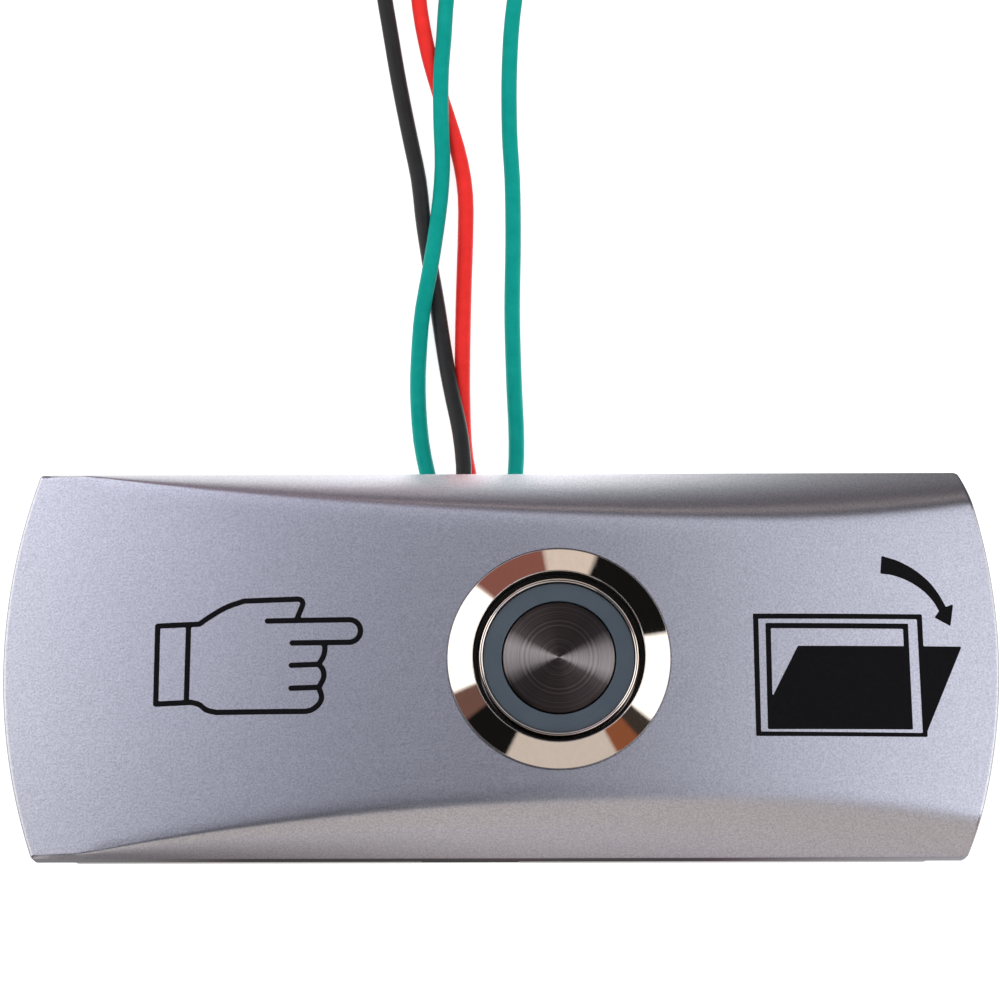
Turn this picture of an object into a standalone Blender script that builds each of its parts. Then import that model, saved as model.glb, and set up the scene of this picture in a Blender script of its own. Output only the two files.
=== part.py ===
"""Surface-mount door exit button: a crowned metal faceplate on a shallow box, with a ring-lit push switch.

The object lies on its back: z = 0 is the back of the box, +Z points out of the faceplate's front,
+X runs along its length, and its four leads leave the box on the +Y side. Sizes are in millimetres.
"""

import math

import bmesh
import bpy
from mathutils import Vector
from mathutils.geometry import interpolate_bezier

MM = 0.001

# Faceplate
LENGTH = 81.6
WIDTH = 32.0
END_BOW = 2.8  # how far each end arc stands out past its corners
PLATE_WALL = 1.6
ROOF = 1.4  # thickness of the crowned face
SKIRT_Z = 16.5  # lower rim
EDGE_Z = 18.8  # top of the upright side wall
# The height of the face above EDGE_Z and the plan width of its rolled flanks are arches along X:
# (peak, where it is, run to zero on the left, run to zero on the right, least value)
CROWN = (4.9, 4.6, 43.2, 47.4, -1.0)
FLANK = (4.72, 21.2, 56.9, 31.2, 0.3)
FLANK_STEPS = 4
LOFT_STEP = 3.0
CUT = 3.0  # how far a cutter runs past what it cuts

# Box behind the faceplate
BOX_INSET = 1.9
BOX_WALL = 1.6
BOX_TOP = 17.0
CABLE_HOLE_X = -16.0
CABLE_HOLE_R = 5.0
WALL_SLOT_X = 28.0
WALL_SLOT_WIDTH = 3.6
WALL_SLOT_LENGTH = 7.0
NOTCH_X = -2.6
NOTCH_WIDTH = 8.4
NOTCH_TOP = 4.9

# Side screws
SCREW_Z = 10.0
SCREW_SHANK_R = 1.1
SCREW_HEAD_R = 2.2
SCREW_HEAD = 1.5
LUG_X = 33.6
LUG_END = 36.6
LUG_HALF = 3.5
LUG_BOTTOM = 7.0

# Push switch, on an upright axis
SWITCH_X = 4.9
SWITCH_Y = -0.4
SWITCH = (SWITCH_X, SWITCH_Y)
SEAT_Z = 23.1  # the bezel's flange sits here
BEZEL_R = 9.0
BEZEL_TOP = 25.0
MOUTH_R = 6.95
BORE_R = 6.85
LIP_R = 6.55
BARREL_R = 8.0
THREAD_DEPTH = 0.6
THREAD_PITCH = 1.0
THREAD_TOP = 20.5
THREAD_BOTTOM = 11.5
BARREL_BOTTOM = 10.3
BOSS_R = 11.0
BOSS_BOTTOM = 21.1
NUT_FLATS = 19.0
NUT_THICK = 2.6
SLEEVE_R = 6.45
SLEEVE_TOP = 24.5
RING_R = 5.95
RING_TOP = 24.1
CAP_R = 4.5
CAP_TOP = 24.3
BASE_BOTTOM = 9.0
BASE_TOP = 11.7
SHELF_TOP = 15.3
CHAMBER_R = 5.6
CONTACT_R = 3.0  # the switched pins' distance from the axis
LED_PIN_R = 4.3
TAB_BOTTOM = 5.2
TAB_WIDTH = 2.0
TAB_THICK = 0.5
SPRING_R = 3.2
SPRING_WIRE = 0.4
SPRING_TURNS = 4.5
ROUND = 36  # sides of the large turned pieces

# Leads
LEAD_R = 0.7
LEAD_LENGTH = 100.0  # outside the box, with the bare end
BARE_LENGTH = 5.0
BARE_R = 0.35
LEAD_GAP = 0.3
POINT_SPACING = 3.5
INNER_SPACING = 1.4
EXIT_Y = WIDTH / 2 - BOX_INSET
INNER_Z = 2.7
EXIT_Z = 2.3
TABLE_Z = 0.75

# For each lead: its pin from the switch's axis, its place in the notch, its way there inside the box,
# and its route over the table.
LEADS = {
    "green_left": {
        "pin": (-CONTACT_R, 0.0),
        "slot_x": -5.1,
        "inside": [(-0.6, 4.2), (-3.4, 8.6)],
        "outside": [
            (-5.4, 16.6, 1.65),
            (-6.25, 19.6, 0.9),
            (-6.95, 23.2, TABLE_Z),
            (-7.25, 27.6, TABLE_Z),
            (-7.15, 31.2, 0.86),
            (-6.85, 34.6, 1.6),
            (-6.15, 38.4, 2.35),
            (-5.6, 42.4, 1.65),
            (-5.25, 45.8, 1.0),
            (-5.1, 48.8, 1.35),
            (-5.2, 51.6, 2.0),
            (-5.25, 54.6, 2.35),
            (-5.2, 57.4, 2.0),
            (-5.0, 60.4, 1.2),
            (-4.8, 64.0, TABLE_Z),
            (-4.2, 69.4, TABLE_Z),
            (-2.3, 76.0, TABLE_Z),
            (1.7, 82.0, TABLE_Z),
            (7.5, 86.2, TABLE_Z),
            (14.4, 88.0, TABLE_Z),
            (21.6, 87.2, TABLE_Z),
            (28.4, 84.4, TABLE_Z),
            (34.8, 80.8, TABLE_Z),
        ],
    },
    "black": {
        "pin": (0.0, -LED_PIN_R),
        "slot_x": -3.35,
        "inside": [(4.5, -1.3), (3.0, 2.6), (0.3, 6.8), (-2.2, 10.2)],
        "outside": [
            (-3.2, 17.0, 2.45),
            (-3.15, 20.2, 2.45),
            (-3.5, 23.6, 2.3),
            (-4.15, 26.8, 1.88),
            (-4.7, 29.8, 1.28),
            (-5.15, 32.8, 0.86),
            (-5.6, 35.8, TABLE_Z),
            (-6.15, 39.0, TABLE_Z),
            (-6.8, 43.2, TABLE_Z),
            (-7.25, 47.2, TABLE_Z),
            (-8.1, 51.4, TABLE_Z),
            (-9.1, 56.6, TABLE_Z),
            (-10.2, 63.2, TABLE_Z),
            (-11.3, 69.2, TABLE_Z),
            (-13.8, 75.2, TABLE_Z),
            (-18.2, 79.8, TABLE_Z),
            (-24.2, 82.0, TABLE_Z),
            (-30.2, 81.0, TABLE_Z),
            (-34.8, 77.4, TABLE_Z),
            (-37.4, 72.2, TABLE_Z),
            (-38.2, 66.0, TABLE_Z),
        ],
    },
    "red": {
        "pin": (0.0, LED_PIN_R),
        "slot_x": -1.6,
        "inside": [(3.0, 7.0), (-0.2, 10.0)],
        "outside": [
            (-1.85, 16.3, 1.4),
            (-2.5, 18.9, 0.84),
            (-3.1, 22.2, TABLE_Z),
            (-3.3, 26.6, TABLE_Z),
            (-3.3, 31.4, TABLE_Z),
            (-3.2, 36.8, TABLE_Z),
            (-3.05, 41.8, TABLE_Z),
            (-3.05, 45.6, TABLE_Z),
            (-3.5, 48.8, TABLE_Z),
            (-4.3, 51.8, TABLE_Z),
            (-5.3, 55.0, TABLE_Z),
            (-6.4, 59.0, TABLE_Z),
            (-7.2, 63.4, TABLE_Z),
            (-7.8, 69.4, TABLE_Z),
            (-9.4, 75.6, TABLE_Z),
            (-12.9, 81.2, TABLE_Z),
            (-18.2, 85.0, TABLE_Z),
            (-24.6, 86.2, TABLE_Z),
            (-30.8, 84.8, TABLE_Z),
            (-36.0, 81.0, TABLE_Z),
            (-39.6, 75.6, TABLE_Z),
        ],
    },
    "green_right": {
        "pin": (CONTACT_R, 0.0),
        "slot_x": 0.15,
        "inside": [(7.6, 3.6), (5.8, 7.0), (2.8, 9.6)],
        "outside": [
            (0.55, 16.6, 1.65),
            (1.3, 19.6, 0.9),
            (1.45, 23.4, TABLE_Z),
            (1.25, 28.4, TABLE_Z),
            (1.1, 34.8, TABLE_Z),
            (1.2, 41.2, TABLE_Z),
            (1.15, 46.8, TABLE_Z),
            (0.9, 51.6, TABLE_Z),
            (0.9, 57.6, TABLE_Z),
            (1.3, 63.4, TABLE_Z),
            (2.4, 69.4, TABLE_Z),
            (4.8, 75.4, TABLE_Z),
            (9.1, 80.0, TABLE_Z),
            (14.8, 82.2, TABLE_Z),
            (21.0, 81.6, TABLE_Z),
            (26.2, 78.4, TABLE_Z),
            (29.4, 73.4, TABLE_Z),
            (30.6, 67.4, TABLE_Z),
        ],
    },
}


def clear_scene():
    for obj in list(bpy.data.objects):
        bpy.data.objects.remove(obj)


def make_material(name, colour, roughness, metallic, transmission=0.0):
    material = bpy.data.materials.new(name)
    material.use_nodes = True
    shader = material.node_tree.nodes["Principled BSDF"]
    shader.inputs["Base Color"].default_value = (*colour, 1.0)
    shader.inputs["Roughness"].default_value = roughness
    shader.inputs["Metallic"].default_value = metallic
    shader.inputs["Transmission Weight"].default_value = transmission
    return material


def make_materials():
    table = {
        "satin_metal": ((0.36, 0.36, 0.41), 0.35, 1.0),
        "chrome": ((0.80, 0.80, 0.82), 0.08, 1.0),
        "steel": ((0.60, 0.60, 0.62), 0.30, 1.0),
        "nickel": ((0.62, 0.60, 0.56), 0.30, 1.0),
        "brass": ((0.72, 0.55, 0.28), 0.30, 1.0),
        "tin": ((0.70, 0.70, 0.72), 0.35, 1.0),
        "black_plastic": ((0.03, 0.03, 0.03), 0.50, 0.0),
        "natural_plastic": ((0.70, 0.66, 0.56), 0.50, 0.0),
        "board_green": ((0.03, 0.20, 0.08), 0.50, 0.0),
        "led_white": ((0.85, 0.80, 0.55), 0.40, 0.0),
        "black_rubber": ((0.03, 0.03, 0.03), 0.70, 0.0),
        "lead_black": ((0.03, 0.03, 0.03), 0.45, 0.0),
        "lead_red": ((0.80, 0.03, 0.03), 0.45, 0.0),
        "lead_green": ((0.00, 0.35, 0.28), 0.45, 0.0),
    }
    made = {name: make_material(name, *values) for name, values in table.items()}
    made["light_guide"] = make_material("light_guide", (0.40, 0.45, 0.50), 0.30, 0.0, 0.4)
    return made


def link_object(name, bm, material=None):
    """Turns a bmesh in millimetres into an object in metres, shaded smooth where it is round."""
    bmesh.ops.scale(bm, vec=(MM, MM, MM), verts=bm.verts)
    bmesh.ops.recalc_face_normals(bm, faces=bm.faces)
    mesh = bpy.data.meshes.new(name)
    bm.to_mesh(mesh)
    bm.free()
    mesh.shade_smooth()
    mesh.set_sharp_from_angle(angle=math.radians(35))
    if material:
        mesh.materials.append(material)
    obj = bpy.data.objects.new(name, mesh)
    bpy.context.scene.collection.objects.link(obj)
    return obj


def rings_to_bmesh(rings, closed):
    """Joins rings of points into a skin. A closed stack meets itself; an open one has flat ends."""
    bm = bmesh.new()
    loops = [[bm.verts.new(point) for point in ring] for ring in rings]
    pairs = list(zip(loops, loops[1:]))
    if closed:
        pairs.append((loops[-1], loops[0]))
    else:
        bm.faces.new(loops[0])
        bm.faces.new(loops[-1])
    for low, high in pairs:
        for i in range(len(low)):
            j = (i + 1) % len(low)
            bm.faces.new((low[i], low[j], high[j], high[i]))
    return bm


def turned(name, profile, material=None, centre=SWITCH, sides=ROUND):
    """Turns a profile of (radius, z) about an upright axis. It is closed, or it starts and ends on the axis."""
    bm = bmesh.new()
    angles = [2 * math.pi * side / sides for side in range(sides)]
    directions = [Vector((math.cos(a), math.sin(a), 0.0)) for a in angles]
    on_axis = {}
    grid = []
    for radius, z in profile:
        if radius == 0.0:
            on_axis[len(grid)] = bm.verts.new((centre[0], centre[1], z))
            grid.append(None)
            continue
        place = Vector((centre[0], centre[1], z))
        grid.append([bm.verts.new(place + direction * radius) for direction in directions])
    steps = range(len(profile) - 1) if on_axis else range(len(profile))
    for i in steps:
        j = (i + 1) % len(profile)
        for side in range(sides):
            turn = (side + 1) % sides
            if grid[i] is None:
                bm.faces.new((on_axis[i], grid[j][side], grid[j][turn]))
            elif grid[j] is None:
                bm.faces.new((grid[i][side], on_axis[j], grid[i][turn]))
            else:
                bm.faces.new((grid[i][side], grid[j][side], grid[j][turn], grid[i][turn]))
    return link_object(name, bm, material)


def prism(name, outline, low, high, material=None, axis="Z"):
    """Extrudes an outline from low to high along an axis. The outline lies in the two other axes, in order."""
    def place(point, along):
        if axis == "X":
            return (along, point[0], point[1])
        if axis == "Y":
            return (point[0], along, point[1])
        return (point[0], point[1], along)

    rings = [[place(point, along) for point in outline] for along in (low, high)]
    return link_object(name, rings_to_bmesh(rings, closed=False), material)


def rectangle(x0, x1, y0, y1):
    return [(x0, y0), (x1, y0), (x1, y1), (x0, y1)]


def circle(x, y, radius, sides=24, start=0.0):
    turns = [start + 2 * math.pi * i / sides for i in range(sides)]
    return [(x + radius * math.cos(a), y + radius * math.sin(a)) for a in turns]


def boolean(obj, cutter, operation="DIFFERENCE"):
    modifier = obj.modifiers.new(f"{operation.lower()}_{cutter.name}", "BOOLEAN")
    modifier.operation = operation
    modifier.solver = "EXACT"
    modifier.object = cutter
    cutter.hide_render = True
    cutter.display_type = "WIRE"


def bowed_outline(inset, half_height, steps=14):
    """The plan of the faceplate, inset by a distance: arcs at both ends, run out to half_height."""
    half_width = WIDTH / 2
    radius = (half_width**2 + END_BOW**2) / (2 * END_BOW)
    centre = LENGTH / 2 - radius
    reach = math.asin(half_height / (radius - inset))
    angles = [-reach + 2 * reach * i / steps for i in range(steps + 1)]
    right = [(centre + (radius - inset) * math.cos(a), (radius - inset) * math.sin(a)) for a in angles]
    return right + [(-x, -y) for x, y in right]


def arch(x, peak, middle, run_left, run_right, least):
    """A parabola either side of its peak, held to a least value."""
    run = run_left if x < middle else run_right
    return max(least, peak * (1 - ((x - middle) / run) ** 2))


def face_rise(x):
    """Height of the crowned face above EDGE_Z."""
    return arch(x, *CROWN)


def flank_roll(share):
    """How far the flank has dropped, from 0 at the crease to 1 at the side wall; it steepens outwards."""
    return 0.45 * share + 0.55 * share**2


def plate_loft(name, inset, drop, bottom, material=None):
    """The crowned bar before its ends are cut to the bowed plan."""
    half = WIDTH / 2 - inset
    stations = math.ceil((LENGTH + 2 * CUT) / LOFT_STEP)
    rings = []
    for i in range(stations + 1):
        x = -LENGTH / 2 - CUT + i * (LENGTH + 2 * CUT) / stations
        rise = face_rise(x)
        width = arch(x, *FLANK)
        side = []
        for step in range(FLANK_STEPS + 1):
            share = 1 - step / FLANK_STEPS
            side.append((half - width * (1 - share), EDGE_Z - drop + rise * (1 - flank_roll(share))))
        section = [(half, bottom)] + side
        section += [(-y, z) for y, z in reversed(section)]
        rings.append([(x, y, z) for y, z in section])
    return link_object(name, rings_to_bmesh(rings, closed=False), material)


def make_faceplate(materials):
    plate = plate_loft("faceplate", 0.0, 0.0, SKIRT_Z, materials["satin_metal"])
    plan = prism("cut_plan", bowed_outline(0.0, WIDTH / 2 + CUT), SKIRT_Z - CUT, BEZEL_TOP + CUT)
    boolean(plate, plan, "INTERSECT")
    hollow = plate_loft("cut_hollow", PLATE_WALL, ROOF, SKIRT_Z - CUT)
    hollow_outline = bowed_outline(PLATE_WALL, WIDTH / 2 + CUT)
    hollow_plan = prism("cut_hollow_plan", hollow_outline, SKIRT_Z - 2 * CUT, BEZEL_TOP + CUT)
    boolean(hollow, hollow_plan, "INTERSECT")
    boolean(plate, hollow)
    boss = prism("add_boss", circle(*SWITCH, BOSS_R, ROUND), BOSS_BOTTOM, SEAT_Z - 0.5)
    boolean(plate, boss, "UNION")
    for side in (-1, 1):
        ends = sorted((side * LUG_X, side * LUG_END))
        lug_top = EDGE_Z - ROOF + max(map(face_rise, ends)) + 0.6
        outline = rectangle(*ends, -LUG_HALF, LUG_HALF)
        lug = prism(f"add_lug_{side}", outline, LUG_BOTTOM, lug_top)
        boolean(plate, lug, "UNION")
        tapped = circle(0, SCREW_Z, SCREW_SHANK_R + 0.2, 16)
        reach = sorted((side * (LUG_X - CUT), side * (LUG_END + CUT / 2)))
        boolean(plate, prism(f"cut_lug_{side}", tapped, *reach, axis="X"))
    bore = prism("cut_bore", circle(*SWITCH, BARREL_R + 0.15, ROUND), BOSS_BOTTOM - CUT, BEZEL_TOP + CUT)
    boolean(plate, bore)
    seat = prism("cut_seat", circle(*SWITCH, BEZEL_R + 0.15, ROUND), SEAT_Z, BEZEL_TOP + CUT)
    boolean(plate, seat)


def slot_outline(x, length, width, sides=9):
    """A slot along X with round ends."""
    half = (length - width) / 2
    turns = [math.pi * i / sides for i in range(sides + 1)]
    right = [(x + half + width / 2 * math.sin(a), -width / 2 * math.cos(a)) for a in turns]
    left = [(x - half - width / 2 * math.sin(a), width / 2 * math.cos(a)) for a in turns]
    return right + left


def make_back_box(materials):
    outline = bowed_outline(BOX_INSET, WIDTH / 2 + CUT)
    box = prism("back_box", outline, 0.0, BOX_TOP, materials["satin_metal"])
    half = WIDTH / 2 - BOX_INSET
    sides = rectangle(-LENGTH, LENGTH, -half, half)
    boolean(box, prism("cut_box_sides", sides, -CUT, BOX_TOP + CUT), "INTERSECT")
    inner_half = half - BOX_WALL
    room = prism("cut_room", bowed_outline(BOX_INSET + BOX_WALL, WIDTH / 2 + CUT), BOX_WALL, BOX_TOP + CUT)
    room_sides = rectangle(-LENGTH, LENGTH, -inner_half, inner_half)
    boolean(room, prism("cut_room_sides", room_sides, -CUT, BOX_TOP + 2 * CUT), "INTERSECT")
    boolean(box, room)
    boolean(box, prism("cut_cable_hole", circle(CABLE_HOLE_X, 0, CABLE_HOLE_R, 32), -CUT, BOX_WALL + CUT))
    for side in (-1, 1):
        slot = slot_outline(side * WALL_SLOT_X, WALL_SLOT_LENGTH, WALL_SLOT_WIDTH)
        boolean(box, prism(f"cut_wall_slot_{side}", slot, -CUT, BOX_WALL + CUT))
        reach = sorted((side * (LUG_END + 0.2), side * (LENGTH / 2 + CUT)))
        clear = circle(0, SCREW_Z, SCREW_SHANK_R + 0.4, 16)
        boolean(box, prism(f"cut_screw_{side}", clear, *reach, axis="X"))
        notch_x = (NOTCH_X - NOTCH_WIDTH / 2, NOTCH_X + NOTCH_WIDTH / 2)
        notch_y = sorted((side * (inner_half - 0.2), side * (half + CUT)))
        boolean(box, prism(f"cut_notch_{side}", rectangle(*notch_x, *notch_y), -CUT, NOTCH_TOP))


def make_cover_screw(side, materials):
    """A pan-head screw along X with a cross recess; its head stands off the box's end wall."""
    seat = LENGTH / 2 - BOX_INSET + 0.1
    tip = LUG_X - 0.9
    profile = [
        (0.0, tip),
        (SCREW_SHANK_R * 0.6, tip),
        (SCREW_SHANK_R, tip + 0.5),
        (SCREW_SHANK_R, seat),
        (SCREW_HEAD_R, seat),
        (SCREW_HEAD_R, seat + SCREW_HEAD * 0.5),
        (SCREW_HEAD_R * 0.75, seat + SCREW_HEAD),
        (0.0, seat + SCREW_HEAD),
    ]
    name = "cover_screw_left" if side < 0 else "cover_screw_right"
    screw = turned(name, profile, materials["steel"], centre=(0.0, 0.0), sides=20)
    screw.rotation_euler = (0.0, side * math.pi / 2, 0.0)
    screw.location = (0.0, 0.0, SCREW_Z * MM)
    depth = sorted((side * (seat + SCREW_HEAD - 0.8), side * (seat + SCREW_HEAD + CUT)))
    arm, half = 1.3, 0.25
    for label, reach in (("flat", (arm, half)), ("upright", (half, arm))):
        outline = rectangle(-reach[0], reach[0], SCREW_Z - reach[1], SCREW_Z + reach[1])
        boolean(screw, prism(f"cut_cross_{label}_{side}", outline, *depth, axis="X"))


def thread_profile():
    """Ring grooves that stand for the barrel's thread, from bottom to top."""
    profile = []
    turns = round((THREAD_TOP - THREAD_BOTTOM) / THREAD_PITCH)
    for i in range(turns):
        low = THREAD_BOTTOM + i * THREAD_PITCH
        profile += [(BARREL_R - THREAD_DEPTH, low), (BARREL_R, low + THREAD_PITCH / 2)]
    return profile + [(BARREL_R - THREAD_DEPTH, THREAD_TOP)]


def make_switch_body(materials):
    groove_top = SEAT_Z + 0.65
    neck = BARREL_R - 0.3
    profile = [
        (MOUTH_R, BEZEL_TOP),
        (MOUTH_R, 23.6),
        (LIP_R, 23.6),
        (LIP_R, 22.6),
        (BORE_R, 22.6),
        (BORE_R, BARREL_BOTTOM),
        (neck, BARREL_BOTTOM),
        (neck, THREAD_BOTTOM - 0.4),
        *thread_profile(),
        (neck, THREAD_TOP + 0.4),
        (neck, groove_top),
        (BEZEL_R - 0.25, groove_top),
        (BEZEL_R - 0.25, SEAT_Z + 0.05),
        (BEZEL_R, SEAT_Z + 0.05),
        (BEZEL_R, BEZEL_TOP - 1.05),
        (BEZEL_R - 0.3, BEZEL_TOP - 0.8),
        (MOUTH_R + 0.3, BEZEL_TOP),
    ]
    turned("switch_body", profile, materials["chrome"])


def make_o_ring(materials):
    centre, radius, sides = BARREL_R + 0.42, 0.3, 6
    points = circle(centre, SEAT_Z + 0.34, radius, sides)
    turned("flange_o_ring", points, materials["black_rubber"])


def make_nut(materials):
    top = BOSS_BOTTOM - 0.1
    corner = NUT_FLATS / 2 / math.cos(math.pi / 6)
    hexagon = circle(*SWITCH, corner, 6)
    nut = prism("fixing_nut", hexagon, top - NUT_THICK, top, materials["nickel"])
    chamfer = 0.5
    rim = NUT_FLATS / 2 + 0.1
    wide = corner + chamfer
    profile = [
        (0.0, top + 0.2),
        (rim - 0.2, top + 0.2),
        (wide, top - chamfer),
        (wide, top - NUT_THICK + chamfer),
        (rim - 0.2, top - NUT_THICK - 0.2),
        (0.0, top - NUT_THICK - 0.2),
    ]
    boolean(nut, turned("cut_nut_chamfer", profile), "INTERSECT")
    hole = circle(*SWITCH, BARREL_R + 0.15, ROUND)
    boolean(nut, prism("cut_nut_hole", hole, top - NUT_THICK - CUT, top + CUT))


def make_actuator_sleeve(materials):
    inner = RING_R + 0.1
    profile = [
        (SLEEVE_R - 0.07, SLEEVE_TOP),
        (SLEEVE_R, SLEEVE_TOP - 0.07),
        (SLEEVE_R, 22.5),
        (6.75, 22.5),
        (6.75, 21.9),
        (SLEEVE_R, 21.9),
        (SLEEVE_R, 18.4),
        (5.5, 18.4),
        (5.5, 18.9),
        (inner, 18.9),
        (inner, SLEEVE_TOP - 0.1),
        (inner + 0.1, SLEEVE_TOP),
    ]
    turned("actuator_sleeve", profile, materials["chrome"])


def make_light_ring(materials):
    profile = [
        (CAP_R + 0.2, RING_TOP),
        (RING_R, RING_TOP),
        (RING_R, 19.0),
        (4.4, 19.0),
        (4.4, 20.0),
        (2.7, 20.0),
        (2.7, 20.9),
        (CAP_R + 0.2, 20.9),
    ]
    turned("light_ring", profile, materials["light_guide"])


def make_centre_cap(materials):
    profile = [
        (0.0, CAP_TOP),
        (CAP_R - 0.15, CAP_TOP),
        (CAP_R, CAP_TOP - 0.15),
        (CAP_R, 21.0),
        (3.7, 21.0),
        (3.7, 23.4),
        (0.0, 23.4),
    ]
    turned("centre_cap", profile, materials["steel"])


def make_plunger(materials):
    profile = [
        (0.0, 21.5),
        (2.5, 21.5),
        (2.5, 19.9),
        (4.2, 19.9),
        (4.2, 18.9),
        (1.9, 18.9),
        (1.9, 14.3),
        (0.9, 14.3),
        (0.9, 13.6),
        (0.0, 13.6),
    ]
    turned("plunger", profile, materials["black_plastic"], sides=32)


def make_contact_bridge(materials):
    outline = rectangle(SWITCH_X - 4.0, SWITCH_X + 4.0, SWITCH_Y - 1.6, SWITCH_Y + 1.6)
    bridge = prism("contact_bridge", outline, 13.85, 14.15, materials["brass"])
    boolean(bridge, prism("cut_bridge_hole", circle(*SWITCH, 1.05, 16), 13.0, 15.0))


def make_return_spring(materials):
    """A coil from the carrier's shelf to the plunger's flange, its end turns close-wound."""
    low = SHELF_TOP + 0.05 + SPRING_WIRE / 2
    high = 18.85 - SPRING_WIRE / 2
    per_turn, sides = 12, 6
    count = round(per_turn * SPRING_TURNS)
    rings = []
    for i in range(count + 1):
        share = i / count
        angle = 2 * math.pi * SPRING_TURNS * share
        active = min(max((share - 0.12) / 0.76, 0.0), 1.0)
        rise = 0.85 * active + 0.15 * share
        out = Vector((math.cos(angle), math.sin(angle), 0.0))
        centre = Vector((*SWITCH, low + (high - low) * rise)) + out * SPRING_R
        ring = []
        for side in range(sides):
            turn = 2 * math.pi * side / sides
            offset = out * math.cos(turn) + Vector((0.0, 0.0, math.sin(turn)))
            ring.append(centre + offset * SPRING_WIRE / 2)
        rings.append(ring)
    link_object("return_spring", rings_to_bmesh(rings, closed=False), materials["steel"])


def make_contact_carrier(materials):
    profile = [
        (2.2, SHELF_TOP),
        (6.65, SHELF_TOP),
        (6.65, BASE_TOP + 0.1),
        (CHAMBER_R, BASE_TOP + 0.1),
        (CHAMBER_R, SHELF_TOP - 0.6),
        (2.2, SHELF_TOP - 0.6),
    ]
    carrier = turned("contact_carrier", profile, materials["natural_plastic"])
    for side in (-1, 1):
        hole = circle(SWITCH_X, SWITCH_Y + side * LED_PIN_R, 0.7, 12)
        boolean(carrier, prism(f"cut_carrier_{side}", hole, SHELF_TOP - CUT, SHELF_TOP + CUT))


def make_led_board(materials):
    low = SHELF_TOP + 0.1
    profile = [(3.7, low + 0.6), (6.5, low + 0.6), (6.5, low), (3.7, low)]
    turned("led_board", profile, materials["board_green"])
    for i in range(4):
        angle = math.pi / 4 + i * math.pi / 2
        chip = prism(f"led_{i + 1}", rectangle(-0.4, 0.4, -0.8, 0.8), 0.0, 0.5, materials["led_white"])
        place = (SWITCH_X + 5.1 * math.cos(angle), SWITCH_Y + 5.1 * math.sin(angle), low + 0.7)
        chip.location = Vector(place) * MM
        chip.rotation_euler = (0.0, 0.0, angle)


def make_fixed_contacts(materials):
    """Two flat tabs through the base, each with a contact head turned towards the axis."""
    head_low, head_high = BASE_TOP + 0.15, BASE_TOP + 0.5
    for side, name in ((-1, "fixed_contact_left"), (1, "fixed_contact_right")):
        x = SWITCH_X + side * CONTACT_R
        inner, outer = x - side * 0.9, x + side * TAB_THICK / 2
        outline = [
            (x - side * TAB_THICK / 2, TAB_BOTTOM),
            (outer, TAB_BOTTOM),
            (outer, head_high),
            (inner, head_high),
            (inner, head_low),
            (x - side * TAB_THICK / 2, head_low),
        ]
        reach = (SWITCH_Y - TAB_WIDTH / 2, SWITCH_Y + TAB_WIDTH / 2)
        prism(name, outline, *reach, materials["brass"], axis="Y")


def make_led_pins(materials):
    """Two flat tabs through the base that narrow to pins and rise to the circuit board."""
    wide, narrow, shoulder = TAB_WIDTH / 2, 0.45, BASE_BOTTOM - 0.1
    for side, name in ((1, "led_pin_plus"), (-1, "led_pin_minus")):
        outline = [
            (SWITCH_X - wide, TAB_BOTTOM),
            (SWITCH_X + wide, TAB_BOTTOM),
            (SWITCH_X + wide, shoulder),
            (SWITCH_X + narrow, shoulder),
            (SWITCH_X + narrow, SHELF_TOP),
            (SWITCH_X - narrow, SHELF_TOP),
            (SWITCH_X - narrow, shoulder),
            (SWITCH_X - wide, shoulder),
        ]
        y = SWITCH_Y + side * LED_PIN_R
        prism(name, outline, y - TAB_THICK / 2, y + TAB_THICK / 2, materials["nickel"], axis="Y")


def make_terminal_base(materials):
    profile = [
        (0.0, BASE_TOP),
        (6.65, BASE_TOP),
        (6.65, BARREL_BOTTOM - 0.1),
        (7.6, BARREL_BOTTOM - 0.1),
        (7.6, BASE_BOTTOM),
        (0.0, BASE_BOTTOM),
    ]
    base = turned("terminal_base", profile, materials["black_plastic"])
    long, short = TAB_WIDTH / 2 + 0.15, TAB_THICK / 2 + 0.15
    for side in (-1, 1):
        x = SWITCH_X + side * CONTACT_R
        slot = rectangle(x - short, x + short, SWITCH_Y - long, SWITCH_Y + long)
        boolean(base, prism(f"cut_contact_slot_{side}", slot, BASE_BOTTOM - CUT, BASE_TOP + CUT))
        y = SWITCH_Y + side * LED_PIN_R
        slot = rectangle(SWITCH_X - long, SWITCH_X + long, y - short, y + short)
        boolean(base, prism(f"cut_led_slot_{side}", slot, BASE_BOTTOM - CUT, BASE_TOP + CUT))


def smooth_path(points):
    """A dense smooth curve through the points, each stretch a Bezier with Catmull-Rom handles."""
    points = [Vector(point) for point in points]
    ends = [2 * points[0] - points[1], *points, 2 * points[-1] - points[-2]]
    path = [points[0]]
    for before, start, stop, after in zip(ends, ends[1:], ends[2:], ends[3:]):
        first = start + (stop - before) / 6
        second = stop - (after - start) / 6
        path += interpolate_bezier(start, first, second, stop, 24)[1:]
    return path


def evenly_spaced(path, spacing, length=None):
    """Points along a path, about a spacing apart, cut off at a length."""
    travelled = [0.0]
    for start, stop in zip(path, path[1:]):
        travelled.append(travelled[-1] + (stop - start).length)
    total = length or travelled[-1]
    count = max(2, round(total / spacing))
    found = []
    index = 1
    for i in range(count + 1):
        target = total * i / count
        while travelled[index] < target and index < len(path) - 1:
            index += 1
        span = travelled[index] - travelled[index - 1]
        found.append(path[index - 1].lerp(path[index], (target - travelled[index - 1]) / span))
    return found


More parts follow.
